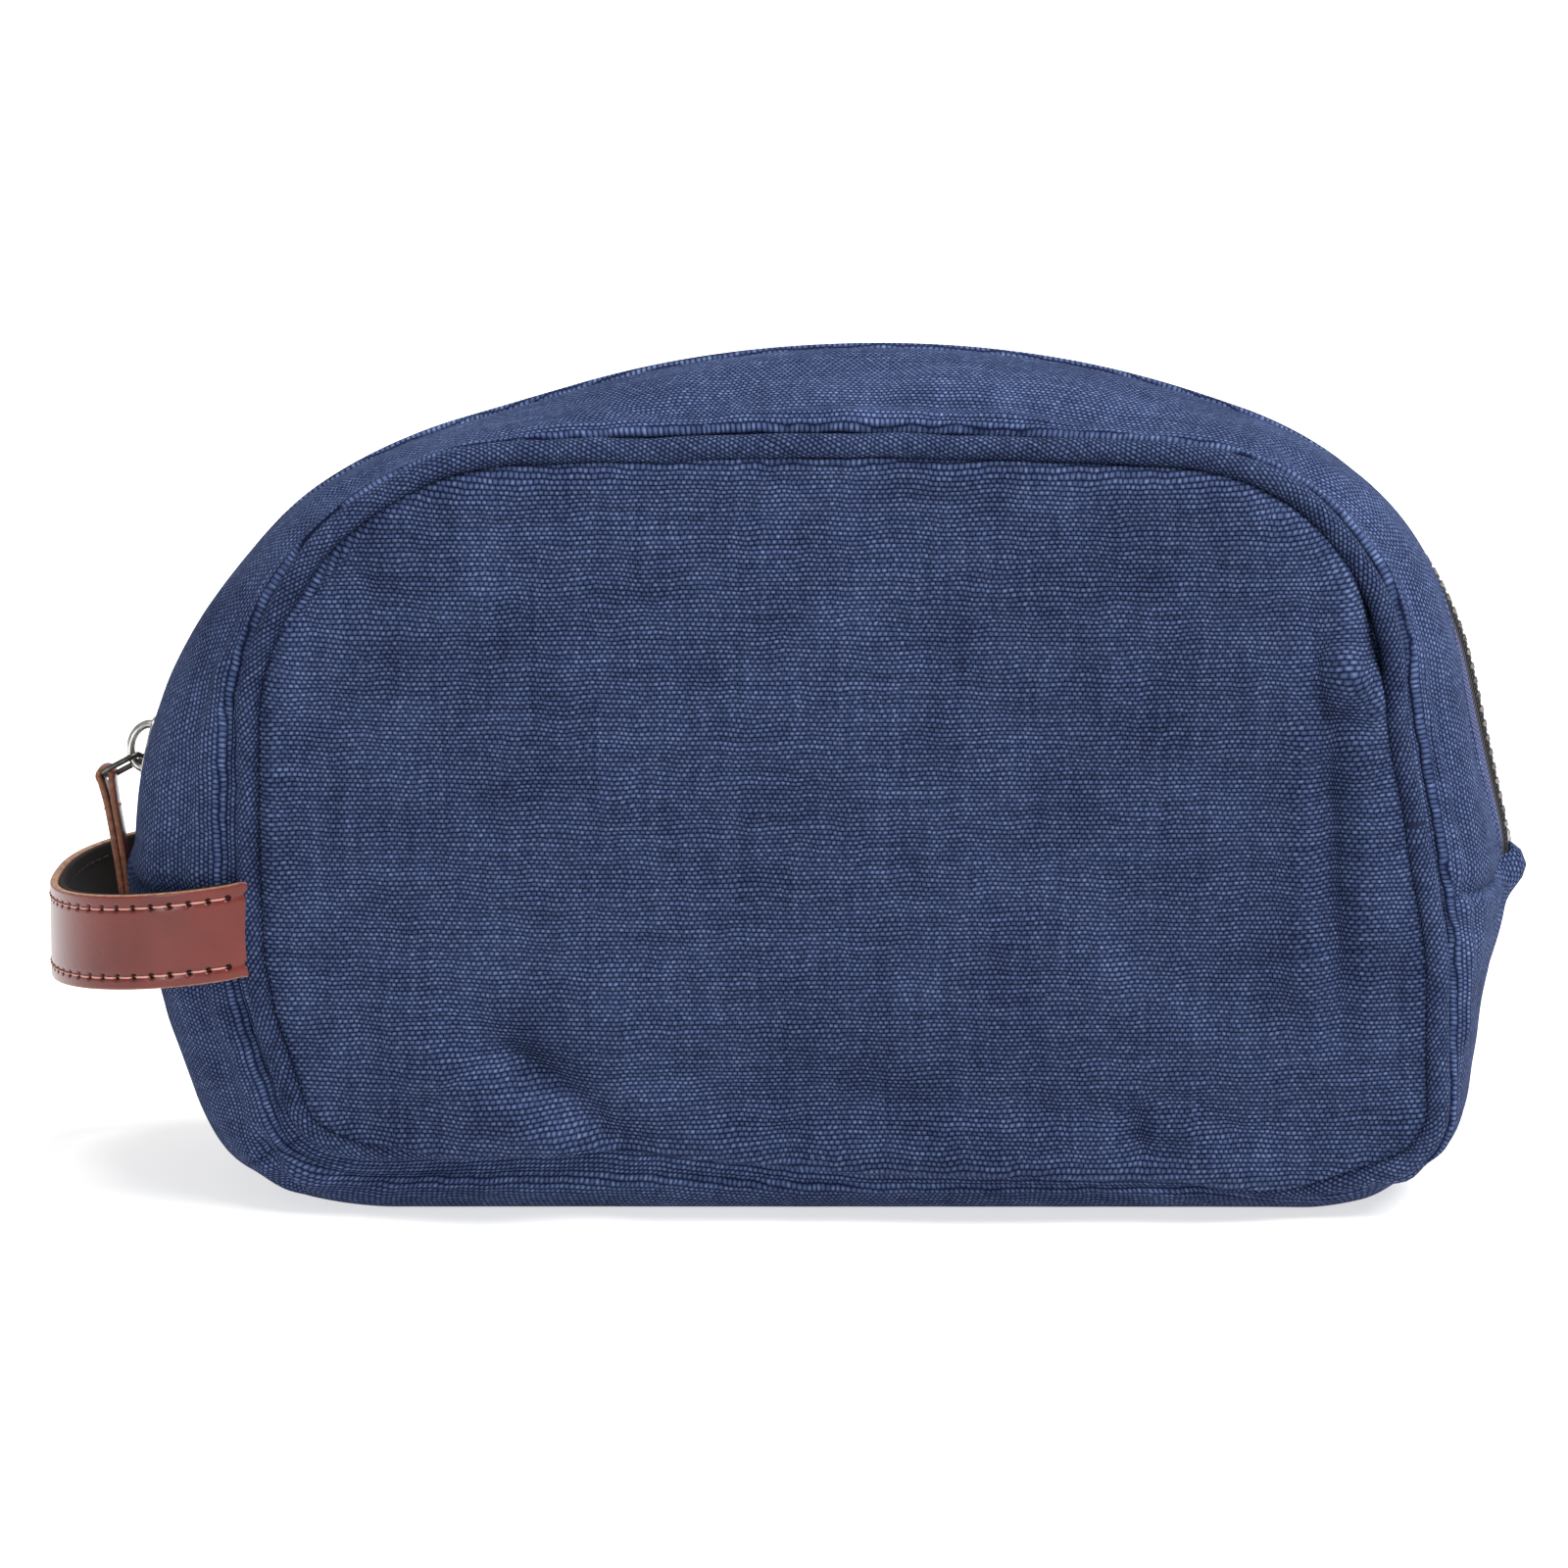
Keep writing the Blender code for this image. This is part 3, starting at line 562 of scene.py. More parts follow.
def bound():
    """Ribbed navy binding tape."""
    s = Shader("binding_tape", 0.85)
    u, v = s.uv()
    rib = s.math("SINE", s.times(u, 2 * math.pi / 0.7))
    s.colour(s.mix(s.between(rib, -1, 1), rgba(20, 24, 40), rgba(44, 50, 74)))
    s.bump(rib, 0.0002, 0.6)
    return s.material


def leather(name, tone, deep, edge=None, shine=0.36):
    """Grained leather. Where the mesh is marked `edge` it is cut and raw, and at `hole` it is painted dark as
    shade inside the needle holes.
    """
    s = Shader(name, shine, Coat_Weight=0.3 if edge else 0.0, Coat_Roughness=0.22, Specular_IOR_Level=0.25)
    place = s.node("ShaderNodeTexCoord", output=3)
    cells = s.node("ShaderNodeTexVoronoi", Vector=place, Scale=1300.0)
    patch = s.noise(place, 60.0, 4.0)
    grain = s.noise(place, 900.0, 3.0)
    base = s.mix(s.between(patch, 0.3, 0.7), rgba(*deep), rgba(*tone))
    base = s.mix(s.times(s.between(grain, 0.55, 0.75), 0.25), base, rgba(*deep))
    if edge:
        raw = s.mix(s.between(grain, 0.35, 0.65), rgba(*edge), rgba(*[c * 0.72 for c in edge]))
        mask = s.attribute("edge")
        base = s.mix(mask, base, raw)
        s.roughness(s.between(mask, 0, 1, shine, 0.85))
    # Painted shade: where the mesh is marked hole the colour goes to near black.
    s.colour(s.mix(s.attribute("hole"), base, rgba(30, 12, 10)))
    height = s.add(s.times(cells, 0.5), s.times(grain, 0.6))
    s.bump(height, 0.00012, 0.35)
    return s.material


def metal(name, tone, roughness, deep):
    """Plated metal with fine scratches, and tarnish where the noise is low."""
    s = Shader(name, roughness, 1.0)
    place = s.node("ShaderNodeTexCoord", output=3)
    patch = s.noise(place, 420.0, 4.0)
    s.colour(s.mix(s.between(patch, 0.35, 0.6), rgba(*deep), rgba(*tone)))
    s.roughness(s.between(patch, 0.3, 0.7, roughness + 0.15, roughness))
    return s.material


def plain(name, tone, roughness):
    s = Shader(name, roughness)
    place = s.node("ShaderNodeTexCoord", output=3)
    s.colour(s.mix(s.noise(place, 700.0, 2.0), rgba(*tone), rgba(*[c * 0.75 for c in tone])))
    return s.material


# ---------------------------------------------------------------- the pieces

PANEL_CREASES = (
    # (x, z) to (x, z), width, height: the slack fold at the lower left
    ((-64, 40), (-31, 13), 5.0, -3.4),
    ((-80, 36), (-44, 12), 7.0, 2.6),
    ((-48, 46), (-18, 24), 9.0, 1.4),
    # the long hollow above the base
    ((-42, 27), (30, 20), 8.0, -2.2),
    ((20, 20), (84, 17), 7.0, -1.4),
    # the dimples of the lower edge
    ((56, 26), (58, 12), 3.0, -1.7),
    ((66, 24), (70, 10), 4.0, 1.1),
    ((-8, 22), (-6, 11), 4.0, -1.0),
    # the folds that lead into the pinch beside the right piping
    ((90, 104), (104, 95), 3.6, 3.0),
    ((84, 92), (100, 86), 5.0, 1.4),
    ((93, 124), (94.5, 96), 3.4, 1.5),
    # the upright ridges down the right side
    ((84, 112), (88, 30), 3.6, 1.5),
    ((90, 108), (94, 40), 3.2, -1.5),
    ((97, 84), (98, 30), 3.2, 1.0),
    # the upper corners
    ((78, 137), (83, 131), 3.5, -1.8),
    ((70, 128), (86, 122), 7.0, 0.8),
    ((-99, 113), (-78, 121), 6.0, -1.6),
    ((-92, 104), (-60, 122), 9.0, 0.9),
    ((-100, 96), (-98, 50), 5.0, 0.8),
    ((-50, 130), (20, 132), 8.0, -0.7),
)


# The pinch itself, which runs right up to the piping.
PINCH = ((97.4, 0, 122), (98.6, 0, 96), 2.7, -4.6)


def toward_edge(count, fine):
    """Values from -1 to 1, packed closer together towards both ends."""
    q = np.linspace(-1, 1, count)
    return np.sign(q) * (np.abs(q) + fine * np.abs(q) * (1 - np.abs(q)))


def panel_surface(side, columns=300, rows=200):
    """Points and UVs of a panel on a square grid whose border is the seam."""
    s, t = np.meshgrid(toward_edge(columns, 0.35), toward_edge(rows, 0.35), indexing="ij")
    shares = np.maximum(np.abs(s), np.abs(t))
    angles = np.arctan2(t * 66.0, s * 106.0)
    back = float(side == BACK)
    edge = seam_line(angles, back)
    along = seam_line(angles + 0.01, back) - seam_line(angles - 0.01, back)
    along /= np.linalg.norm(along, axis=-1, keepdims=True)
    inward = np.stack((-along[..., 1], along[..., 0]), -1)
    edge = edge + inward * 2.1
    flat = HUB + (edge - HUB) * shares[..., None]
    gap = (1 - shares) * np.abs(((edge - HUB) * inward).sum(-1))
    y = HALF_DEPTH - 2.6 + 5.2 * (1 - np.exp(-gap / 0.9)) + PANEL_CROWN * (1 - shares**2.6)

    # What the bag holds pushes the lower edge out and down over the seam.
    low = ramp(np.abs(np.mod(angles - 4.73 + math.pi, 2 * math.pi) - math.pi), 1.02, 0.82)
    y = y + low * 4.6 * np.exp(-(((gap - 5.5) / 6.5) ** 2)) * ramp(gap, 0, 2.2)
    droop = low * (4.2 * hump(gap, 2.6, 2.6) + 1.0 * hump(gap, 8, 5)) * ramp(gap, 0.0, 1.2)
    x, z = flat[..., 0], flat[..., 1] - droop
    place = np.stack((x if side == FRONT else -x * 0.97, np.zeros_like(x), z), -1)
    off = np.zeros_like(x)
    for start, end, width, height in PANEL_CREASES:
        share = 1.5 if side == FRONT else 1.1
        ends = (start[0], 0, start[1]), (end[0], 0, end[1])
        off = off + crease(place, *ends, width, height * share)
    seed = 20 + side
    off = off + 0.8 * waves(place, 32, seed) + 0.22 * waves(place, 11, seed + 5)
    off = off * ramp(gap, 0.2, 2.8) + 0.28 * hump(gap, 3.0, 4.0) * waves(place, 6, seed + 7)
    off = off + crease(place, *PINCH) * ramp(gap, 0.0, 1.0)
    points = np.stack((x, side * (y + off), z), -1)
    return points, np.stack((-side * x, z), -1)


def make_panel(side, name, material):
    points, uv = panel_surface(side)
    faces = grid_faces(*points.shape[:2], flip=side == FRONT)
    found = mesh(name, points.reshape(-1, 3), faces, material, uv.reshape(-1, 2))
    return thicken(found, CANVAS_THICKNESS)


def seam_path(side, shift=0.0, wobble=0.35):
    """Centres and section axes of a cord laid along a panel's seam."""
    angles = np.linspace(0, 2 * math.pi, 760, endpoint=False)
    back = float(side == BACK)
    edge = seam_line(angles, back)
    along = seam_line(angles + 0.006, back) - seam_line(angles - 0.006, back)
    along /= np.linalg.norm(along, axis=-1, keepdims=True)
    out = np.stack((along[:, 1], np.zeros(len(angles)), -along[:, 0]), -1)
    centres = np.stack((edge[:, 0], np.full(len(angles), side * (HALF_DEPTH + 0.7)), edge[:, 1]), -1)
    stray = waves(centres, 24, 41 + side) * wobble + waves(centres, 9, 45 + side) * wobble * 0.4
    centres = centres + out * (stray - shift)[:, None]
    centres[:, 1] += side * waves(centres, 20, 51 + side) * wobble
    inward = np.zeros_like(out)
    inward[:, 1] = -side
    return centres, out, inward


def make_piping(side, name, material):
    """The covered cord round a panel."""
    centres, out, inward = seam_path(side)
    axes = (out, inward * side)
    found = sweep(name, material, (centres, *axes), 26, (CORD_RADIUS, CORD_RADIUS))
    return found


def make_binding(side, name, material):
    """The tape folded over the raw edges of the seam, inside the bag."""
    angles = np.linspace(0, 2 * math.pi, 420, endpoint=False)
    centres, out, inward = seam_path(side, 0.0, 0.2)
    pick = np.linspace(0, len(centres), len(angles), endpoint=False).astype(int)
    centres, out, inward = centres[pick], out[pick], inward[pick]
    section = np.array(((-2.2, 4.3), (-9.6, 4.3), (-10.4, 3.7), (-10.4, 2.9), (-9.6, 2.3)))
    points = centres[:, None] + out[:, None] * section[None, :, :1] + inward[:, None] * (
        section[None, :, 1:]
    )
    run = run_lengths(centres[:, None], 0).repeat(len(section), 1)
    across = run_lengths(points, 1)
    faces = grid_faces(len(angles), len(section), closed_rows=True, flip=side == BACK)
    uv = np.stack((run, across), -1).reshape(-1, 2)
    found = mesh(name, points.reshape(-1, 3), faces, material, uv)
    return thicken(found, 0.35, 0.0)


def band_edge(y):
    """The height of the band's folded upper edge, which rises over the ends of the zip."""
    return 57.0 + 5.0 * hump(y, 0.0, 11.0)


def make_band(name, material, start, end, edge_at_start, edge_at_end):
    """A length of the end-and-base band. Its top edges are folded under."""
    ys = np.concatenate(
        (
            np.linspace(-HALF_DEPTH, -HALF_DEPTH + 8, 26)[:-1],
            np.linspace(-HALF_DEPTH + 8, HALF_DEPTH - 8, 76),
            np.linspace(HALF_DEPTH - 8, HALF_DEPTH, 26)[1:],
        )
    )
    angles = even_angles(start, end, 1.25)
    angle = np.repeat(angles[:, None], len(ys), 1)
    y = np.repeat(ys[None], len(angles), 0)
    if edge_at_start is not None or edge_at_end is not None:
        right = edge_at_end is not None
        line = np.array([angle_at(h, right) for h in np.linspace(56.5, 62.5, 13)])
        top = np.interp(band_edge(ys), np.linspace(56.5, 62.5, 13), line)
        if right:
            top = top + 2 * math.pi
        share = np.linspace(0, 1, len(angles))[:, None]
        angle = start + (top - start)[None] * share if right else top[None] + (end - top)[None] * share
    points = gusset(angle, y, -0.5)
    count = len(angles)
    if edge_at_start is not None or edge_at_end is not None:
        # The folded edge: the outermost 1.2 mm of the band curls in.
        index = np.arange(count)[::-1] if edge_at_end is not None else np.arange(count)
        curl = np.exp(-index * 1.25 / 0.9)[:, None] * ramp(HALF_DEPTH - np.abs(y), 2.0, 6.0)
        points = points - gusset_normal(angle, y) * (curl * 1.5)[..., None]
        ridge = hump(index * 1.25, 2.6, 1.6)[:, None] * 0.5 * ramp(HALF_DEPTH - np.abs(y), 2.0, 6.0)
        lump = hump(y, 0, 9) * hump(index * 1.25, 3.5, 3.6)[:, None] * 1.2
        points = points + gusset_normal(angle, y) * (ridge + lump)[..., None]
    return cloth(name, material, points, CANVAS_THICKNESS)


def make_strip(side, name, material):
    """Half of the gusset over the top, with its edge folded under beside the zip."""
    angles = even_angles(angle_at(53.0, True), angle_at(53.0, False), 1.25)
    seam_to_zip = np.concatenate(
        (
            np.linspace(HALF_DEPTH, HALF_DEPTH - 8, 26)[:-1],
            np.linspace(HALF_DEPTH - 8, ZIP_EDGE + 1.5, 32)[:-1],
            np.linspace(ZIP_EDGE + 1.5, ZIP_EDGE, 6),
        )
    )
    fold = np.concatenate((np.zeros(len(seam_to_zip) - 6), np.array((0, 0.05, 0.15, 0.4, 0.9, 1.6))))
    y = side * seam_to_zip
    angle = np.repeat(angles[:, None], len(y), 1)
    wander = waves(on_outline(MIDDLE, angles), 40, 61 + side) * 0.4
    ys = y[None] + (side * wander)[:, None] * ramp(seam_to_zip, 20, 10)[None]
    tucked = ramp(on_outline(MIDDLE, angles)[:, 1], 62.5, 58) * 1.6
    depth = fold[None] - 0.1 + tucked[:, None] * ramp(HALF_DEPTH - seam_to_zip, 1.5, 5.0)[None]
    points = gusset(angle, ys, depth)
    return cloth(name, material, points, CANVAS_THICKNESS, flip=side == BACK)


def make_strip_lining(side, name, material):
    angles = even_angles(angle_at(60.0, True), angle_at(60.0, False), 3.0)
    y = side * np.linspace(HALF_DEPTH * 0.9, 10.5, 18)
    points = gusset(angles[:, None], y[None], 3.2)
    return cloth(name, material, points, 0.4, flip=side == BACK)


def make_base_lining(name, material):
    whole = angle_at(61.0, True) + 2 * math.pi
    angles = even_angles(angle_at(61.0, False), whole, 3.0)
    y = np.linspace(-HALF_DEPTH * 0.9, HALF_DEPTH * 0.9, 44)
    points = gusset(angles[:, None], y[None], 3.2)
    return cloth(name, material, points, 0.4)


def make_panel_lining(side, name, material):
    points, uv = panel_surface(side, 100, 70)
    middle = np.array((HUB[0], 0, HUB[1]))
    shrunk = middle + (points - middle) * (0.965, 1, 0.955)
    shrunk[..., 1] -= side * (3.4 + 0.5 * waves(points, 22, 71 + side))
    shrunk[..., 1] = side * np.maximum(np.abs(shrunk[..., 1]), HALF_DEPTH - 2.4)
    faces = grid_faces(*points.shape[:2], flip=side == FRONT)
    found = mesh(name, shrunk.reshape(-1, 3), faces, material, uv.reshape(-1, 2))
    return thicken(found, 0.4)


def make_tape(side, name, material):
    angles = even_angles(angle_at(57.5, True), angle_at(57.5, False), 1.6)
    y = side * np.concatenate((np.array((2.3, 2.5, 2.9, 3.4)), np.linspace(4.0, 14.0, 12)))
    lift = np.array((0.4, 0.75, 0.6, 0.1) + (0.0,) * 12)
    points = gusset(angles[:, None], y[None], 1.75 - lift[None])
    return cloth(name, material, points, 0.5, flip=side == FRONT)


def zip_line(angles, depth):
    """Centres on the zip's line, with unit vectors along it and out of the bag."""
    centres = gusset(angles, np.zeros(len(angles)), depth)
    normal = gusset_normal(angles, np.zeros(len(angles)))
    along = gusset_base(angles + 0.004, 0.0 * angles) - gusset_base(angles - 0.004, 0.0 * angles)
    along /= np.linalg.norm(along, axis=-1, keepdims=True)
    return centres, along, normal


def make_teeth(side, name, material):
    """A row of stamped teeth: a clamp round the tape's edge and a narrower head with a bump."""
    angles = even_angles(angle_at(66.8, True), angle_at(67.6, False), TOOTH_PITCH / 2)
    angles = angles[(0 if side == FRONT else 1) :: 2]
    centres, along, normal = zip_line(angles, TEETH_DEPTH)
    # Sections from the foot to the head: distance from the zip's middle, half thickness, half height
    sections = (
        (3.2, 0.38, 0.55),
        (2.9, 0.50, 0.85),
        (1.5, 0.50, 0.95),
        (0.9, 0.50, 0.98),
        (0.3, 0.52, 0.95),
        (-0.35, 0.50, 0.85),
        (-0.6, 0.36, 0.60),
    )
    square = np.array(((-1, -0.75), (-0.75, -1), (0.75, -1), (1, -0.75), (1, 0.75), (0.75, 1),
                       (-0.75, 1), (-1, 0.75)))
    points, faces = [], []
    across = np.array((0.0, side, 0.0))
    base = 0
    for centre, step, out in zip(centres, along, normal):
        for reach, thick, high in sections:
            ring = (
                centre
                + across * reach
                + step * (square[:, :1] * thick)
                + out * (square[:, 1:] * high)
            )
            points.append(ring)
        for i in range(len(sections) - 1):
            for k in range(8):
                a, b = base + i * 8 + k, base + i * 8 + (k + 1) % 8
                faces.append((a, b, b + 8, a + 8) if side == BACK else (a, a + 8, b + 8, b))
        last = base + (len(sections) - 1) * 8
        ends = ([base + k for k in range(8)], [last + k for k in range(8)])
        faces += [ends[0][::-1], ends[1]] if side == BACK else [ends[0], ends[1][::-1]]
        base += len(sections) * 8
    found = face_out(mesh(name, np.concatenate(points), faces, material))
    found.data.set_sharp_from_angle(angle=math.radians(40))
    return found


def block(name, material, size, centre, bevel, parent_matrix, segments=3):
    """A rounded block, built from its eight corners."""
    half = np.array(size) / 2
    signs = np.array([(i, j, k) for i in (-1, 1) for j in (-1, 1) for k in (-1, 1)])
    faces = [(0, 1, 3, 2), (4, 6, 7, 5), (0, 4, 5, 1), (2, 3, 7, 6), (0, 2, 6, 4), (1, 5, 7, 3)]
    found = mesh(name, signs * half + np.array(centre), faces, material)
    soften(found, bevel, segments)
    found.matrix_world = parent_matrix
    return found


def soften(found, width, segments=3):
    modifier = found.modifiers.new("bevel", "BEVEL")
    modifier.width = width * MM
    modifier.segments = segments
    modifier.limit_method = "ANGLE"
    modifier.harden_normals = True
    return found


def prism(name, material, shape, low, high, matrix, bevel, upright=False):
    """A shape of (x, y) points given thickness along Z, or of (x, z) points along Y."""
    shape = np.array(shape, float)
    count = len(shape)
    layers = []
    for level in (low, high):
        column = np.full((count, 1), float(level))
        layers.append(
            np.hstack((shape[:, :1], column, shape[:, 1:])) if upright else np.hstack((shape, column))
        )
    faces = [[k, (k + 1) % count, count + (k + 1) % count, count + k] for k in range(count)]
    faces += [list(range(count))[::-1], [count + k for k in range(count)]]
    if upright:
        faces = [f[::-1] for f in faces]
    found = mesh(name, np.concatenate(layers), faces, material)
    soften(found, bevel)
    found.matrix_world = matrix
    return found


def local_frame(x, z, heading):
    """A matrix at (x, z) whose local X points along heading, Y to the back, Z out of the bag."""
    axis = Vector((math.cos(heading), 0, math.sin(heading)))
    up = axis.cross(Vector((0, 1, 0)))
    turn = Matrix((axis, Vector((0, 1, 0)), up)).transposed().to_4x4()
    return Matrix.Translation(Vector((x, 0, z)) * MM) @ turn


SLIDER_ANGLE = math.radians(167.0)
LINK_ANGLE, TAB_ANGLE = math.radians(207.8), math.radians(278.4)
LINK_LENGTH = 7.5


def slider_frames():
    """The frames of the slider's seat, of the link's bar and of the tab's bar."""
    spots = [np.array(c[:2]) for c in MIDDLE_CORNERS]
    corner = MIDDLE_CORNERS[ZIP_CORNER]
    centre = fillet(spots[5], spots[4], spots[0], corner[2])[1]
    cos, sin = math.cos(SLIDER_ANGLE), math.sin(SLIDER_ANGLE)
    track = centre + (corner[2] - TEETH_DEPTH) * np.array((cos, sin))
    seat = local_frame(*track, SLIDER_ANGLE - math.pi / 2)
    bar = track + 2.93 * np.array((cos, sin)) - 2.1 * np.array((sin, -cos))
    far = bar + LINK_LENGTH * np.array((math.cos(LINK_ANGLE), math.sin(LINK_ANGLE)))
    return seat, local_frame(*bar, LINK_ANGLE), local_frame(*far, TAB_ANGLE)


def make_slider(seat, nickel):
    """Two shield-shaped plates, the post between them, guide flanges and the crown."""
    half = (
        (-5.4, 2.2), (-4.6, 3.6), (-3.0, 4.3), (-0.5, 4.4), (1.5, 4.0), (4.6, 3.3), (5.4, 2.6),
        (5.7, 1.2),
    )
    shield = [*half, *[(x, -y) for x, y in reversed(half)]][::-1]
    pieces = [
        prism("slider_top_plate", nickel, shield, 1.35, 2.25, seat, 0.3),
        prism("slider_under_plate", nickel, shield, -2.4, -1.6, seat, 0.3),
        block("slider_post", nickel, (4.2, 0.6, 3.6), (-3.2, 0, -0.2), 0.2, seat),
    ]
    for side in (-1, 1):
        guide = ((-1.0, 4.4 * side), (5.2, 3.4 * side), (5.2, 2.9 * side), (-1.0, 3.8 * side))
        guide = guide if side < 0 else guide[::-1]
        word = "front" if side < 0 else "back"
        pieces.append(prism(f"slider_guide_{word}", nickel, guide, 0.9, 1.6, seat, 0.15))
    turns = np.linspace(math.radians(-8), math.radians(188), 40)
    centres = np.stack((-4.3 * np.cos(turns), 0 * turns, 2.0 + 3.3 * np.sin(turns)), -1)
    tangent = np.gradient(centres, axis=0)
    tangent /= np.linalg.norm(tangent, axis=-1, keepdims=True)
    across = np.tile((0.0, 1.0, 0.0), (len(turns), 1))
    out = np.cross(tangent, across)
    crown = sweep("slider_crown_arch", nickel, (centres, across, out), 20, (1.3, 0.8), closed=False)
    crown.matrix_world = seat
    return pieces, crown


def make_link(frame, gunmetal):
    """A rectangular ring of wire."""
    bend, half, wire = 1.4, 4.1, 0.55
    path = []
    corners = ((0, -1, 180), (LINK_LENGTH, -1, 270), (LINK_LENGTH, 1, 0), (0, 1, 90))
    for x, y, first in corners:
        cx, cy = min(max(x, bend), LINK_LENGTH - bend), y * (half - bend)
        for step in np.linspace(0, 90, 9):
            a = math.radians(first + step)
            path.append((cx + bend * math.cos(a), cy + bend * math.sin(a), 0.0))
    path = np.array(path)
    tangent = np.roll(path, -1, axis=0) - np.roll(path, 1, axis=0)
    tangent /= np.linalg.norm(tangent, axis=-1, keepdims=True)
    up = np.tile((0.0, 0.0, 1.0), (len(path), 1))
    side = np.cross(tangent, up)
    found = sweep("pull_link_wire", gunmetal, (path, side, up), 16, (wire, wire))
    found.matrix_world = frame @ Matrix.Rotation(math.radians(14), 4, "X")
    return found


def make_tab(frame, hide, thread):
    """A strip of leather folded over the link's bar and sewn to itself below the fold."""
    turns = np.radians(np.linspace(-128, 128, 17))
    eye = [(-1.25 * math.cos(a), 1.25 * math.sin(a)) for a in turns]
    line = np.array([(36.0, -0.62), (24.0, -0.6), (10.0, -0.62), (5.4, -0.64), (3.0, -0.8), *eye,
                     (3.0, 0.8), (5.4, 0.64), (10.0, 0.62), (24.0, 0.6), (36.0, 0.62)])
    run = np.concatenate(([0], np.cumsum(np.linalg.norm(np.diff(line, axis=0), axis=1))))
    places = np.linspace(0, run[-1], 150)
    line = np.stack((np.interp(places, run, line[:, 0]), np.interp(places, run, line[:, 1])), -1)
    tangent = np.gradient(line, axis=0)
    tangent /= np.linalg.norm(tangent, axis=-1, keepdims=True)
    outward = np.stack((tangent[:, 1], -tangent[:, 0]), -1)
    if outward[0, 1] > 0:
        outward = -outward
    points, masks = [], []
    for spot, out in zip(line, outward):
        ring = []
        sway = 0.35 * math.sin(spot[0] / 9)
        for across, lift, edge in (
            (-3.3, 0.0, 1), (-3.3, 0.5, 1), (-3.05, 0.58, 0), (0, 0.62, 0), (3.05, 0.58, 0),
            (3.3, 0.5, 1), (3.3, 0.0, 1), (3.3, -0.5, 1), (0, -0.52, 1), (-3.3, -0.5, 1),
        ):
            ring.append((spot[0] + out[0] * lift, across, spot[1] + out[1] * lift + sway))
            masks.append(float(edge))
        points.append(ring)
    points = np.array(points)
    faces = grid_faces(len(line), points.shape[1], closed_columns=True)
    count = points.shape[1]
    last = (len(line) - 1) * count
    faces += [list(range(count)), [last + k for k in reversed(range(count))]]
    tab = mesh("pull_tab_leather", points.reshape(-1, 3), faces, hide, masks={"edge": masks})
    tab.matrix_world = frame
    stitches = []
    for number, x in enumerate((6.2, 33.0)):
        for place, y in enumerate((-1.6, 0.0, 1.6)):
            centre = np.array([(x, y - 0.7, 0), (x, y - 0.4, 0), (x, y + 0.4, 0), (x, y + 0.7, 0)])
            for face in (-1, 1):
                arc = centre.copy()
                sway = 0.35 * math.sin(x / 9)
                arc[:, 2] = np.array((0.95, 1.32, 1.32, 0.95)) * face + sway
                stitches.append(stitch(f"pull_tab_stitch_{number}{place}{face + 1}", thread, arc, 0.24))
    for found in stitches:
        found.matrix_world = frame
    return tab, stitches


def stitch(name, thread, path, radius):
    """One stitch: a short thread along a path of four points, resampled and rounded."""
    return threads(name, thread, [path], radius)


def threads(name, thread, paths, radius):
    """Several short threads in one mesh."""
    points, faces, base, sides = [], [], 0, 7
    for path in paths:
        path = np.asarray(path, float)
        t = np.linspace(0, 1, 9)
        knots = np.linspace(0, 1, len(path))
        line = np.stack([np.interp(t, knots, path[:, k]) for k in range(3)], -1)
        line[1:-1] = (line[:-2] + 2 * line[1:-1] + line[2:]) / 4
        tangent = np.gradient(line, axis=0)
        tangent /= np.linalg.norm(tangent, axis=-1, keepdims=True)
        helper = np.array((0.0, 0.0, 1.0)) if abs(tangent[4, 2]) < 0.9 else np.array((1.0, 0, 0))
        first = np.cross(tangent, helper)
        first /= np.linalg.norm(first, axis=-1, keepdims=True)
        second = np.cross(tangent, first)
        taper = radius * np.array((0.45, 0.85, 1, 1, 1, 1, 1, 0.85, 0.45))
        turns = np.linspace(0, 2 * math.pi, sides, endpoint=False)
        for i in range(len(line)):
            points.append(
                line[i]
                + first[i] * (np.cos(turns) * taper[i])[:, None]
                + second[i] * (np.sin(turns) * taper[i])[:, None]
            )
        quads = np.array(grid_faces(len(line), sides, closed_columns=True, flip=True)) + base
        faces += quads.tolist()
        faces.append([base + k for k in range(sides)])
        last = base + (len(line) - 1) * sides
        faces.append([last + k for k in reversed(range(sides))])
        base += len(line) * sides
    return face_out(mesh(name, np.concatenate(points), faces, thread))


LOOP_START_X, LOOP_REACH, LOOP_HALF_SPAN, LOOP_POWER = -106.6, 39.4, 50.7, 2.6
LOOP_WIDTH, LOOP_Z, LOOP_SAG = 17.5, 53.7, 4.7


def loop_line(count):
    """The strap's outer face at mid width: places, inward directions and distance travelled."""
    turns = math.pi / 2 * np.sin(math.pi / 2 * np.linspace(-1, 1, 1600))
    cos, sin = np.clip(np.cos(turns), 0, 1), np.sin(turns)
    power = 2 / LOOP_POWER
    places = np.stack(
        (
            LOOP_START_X - LOOP_REACH * cos**power,
            LOOP_HALF_SPAN * np.sign(sin) * np.abs(sin) ** power,
            LOOP_Z + 0.6 - (LOOP_SAG + 0.6) * cos**0.6,
        ),
        -1,
    )
    ends = [places[0] + (1.3, 0, 0), places[-1] + (1.3, 0, 0)]
    places = np.concatenate(([ends[0]], places, [ends[1]]))
    run = np.concatenate(([0], np.cumsum(np.linalg.norm(np.diff(places, axis=0), axis=1))))
    even = np.linspace(0, run[-1], count)
    places = np.stack([np.interp(even, run, places[:, k]) for k in range(3)], -1)
    along = np.gradient(places, axis=0)
    along[:, 2] = 0
    along /= np.linalg.norm(along, axis=-1, keepdims=True)
    inward = np.stack((along[:, 1], -along[:, 0], np.zeros(count)), -1)
    return places, inward, along, even


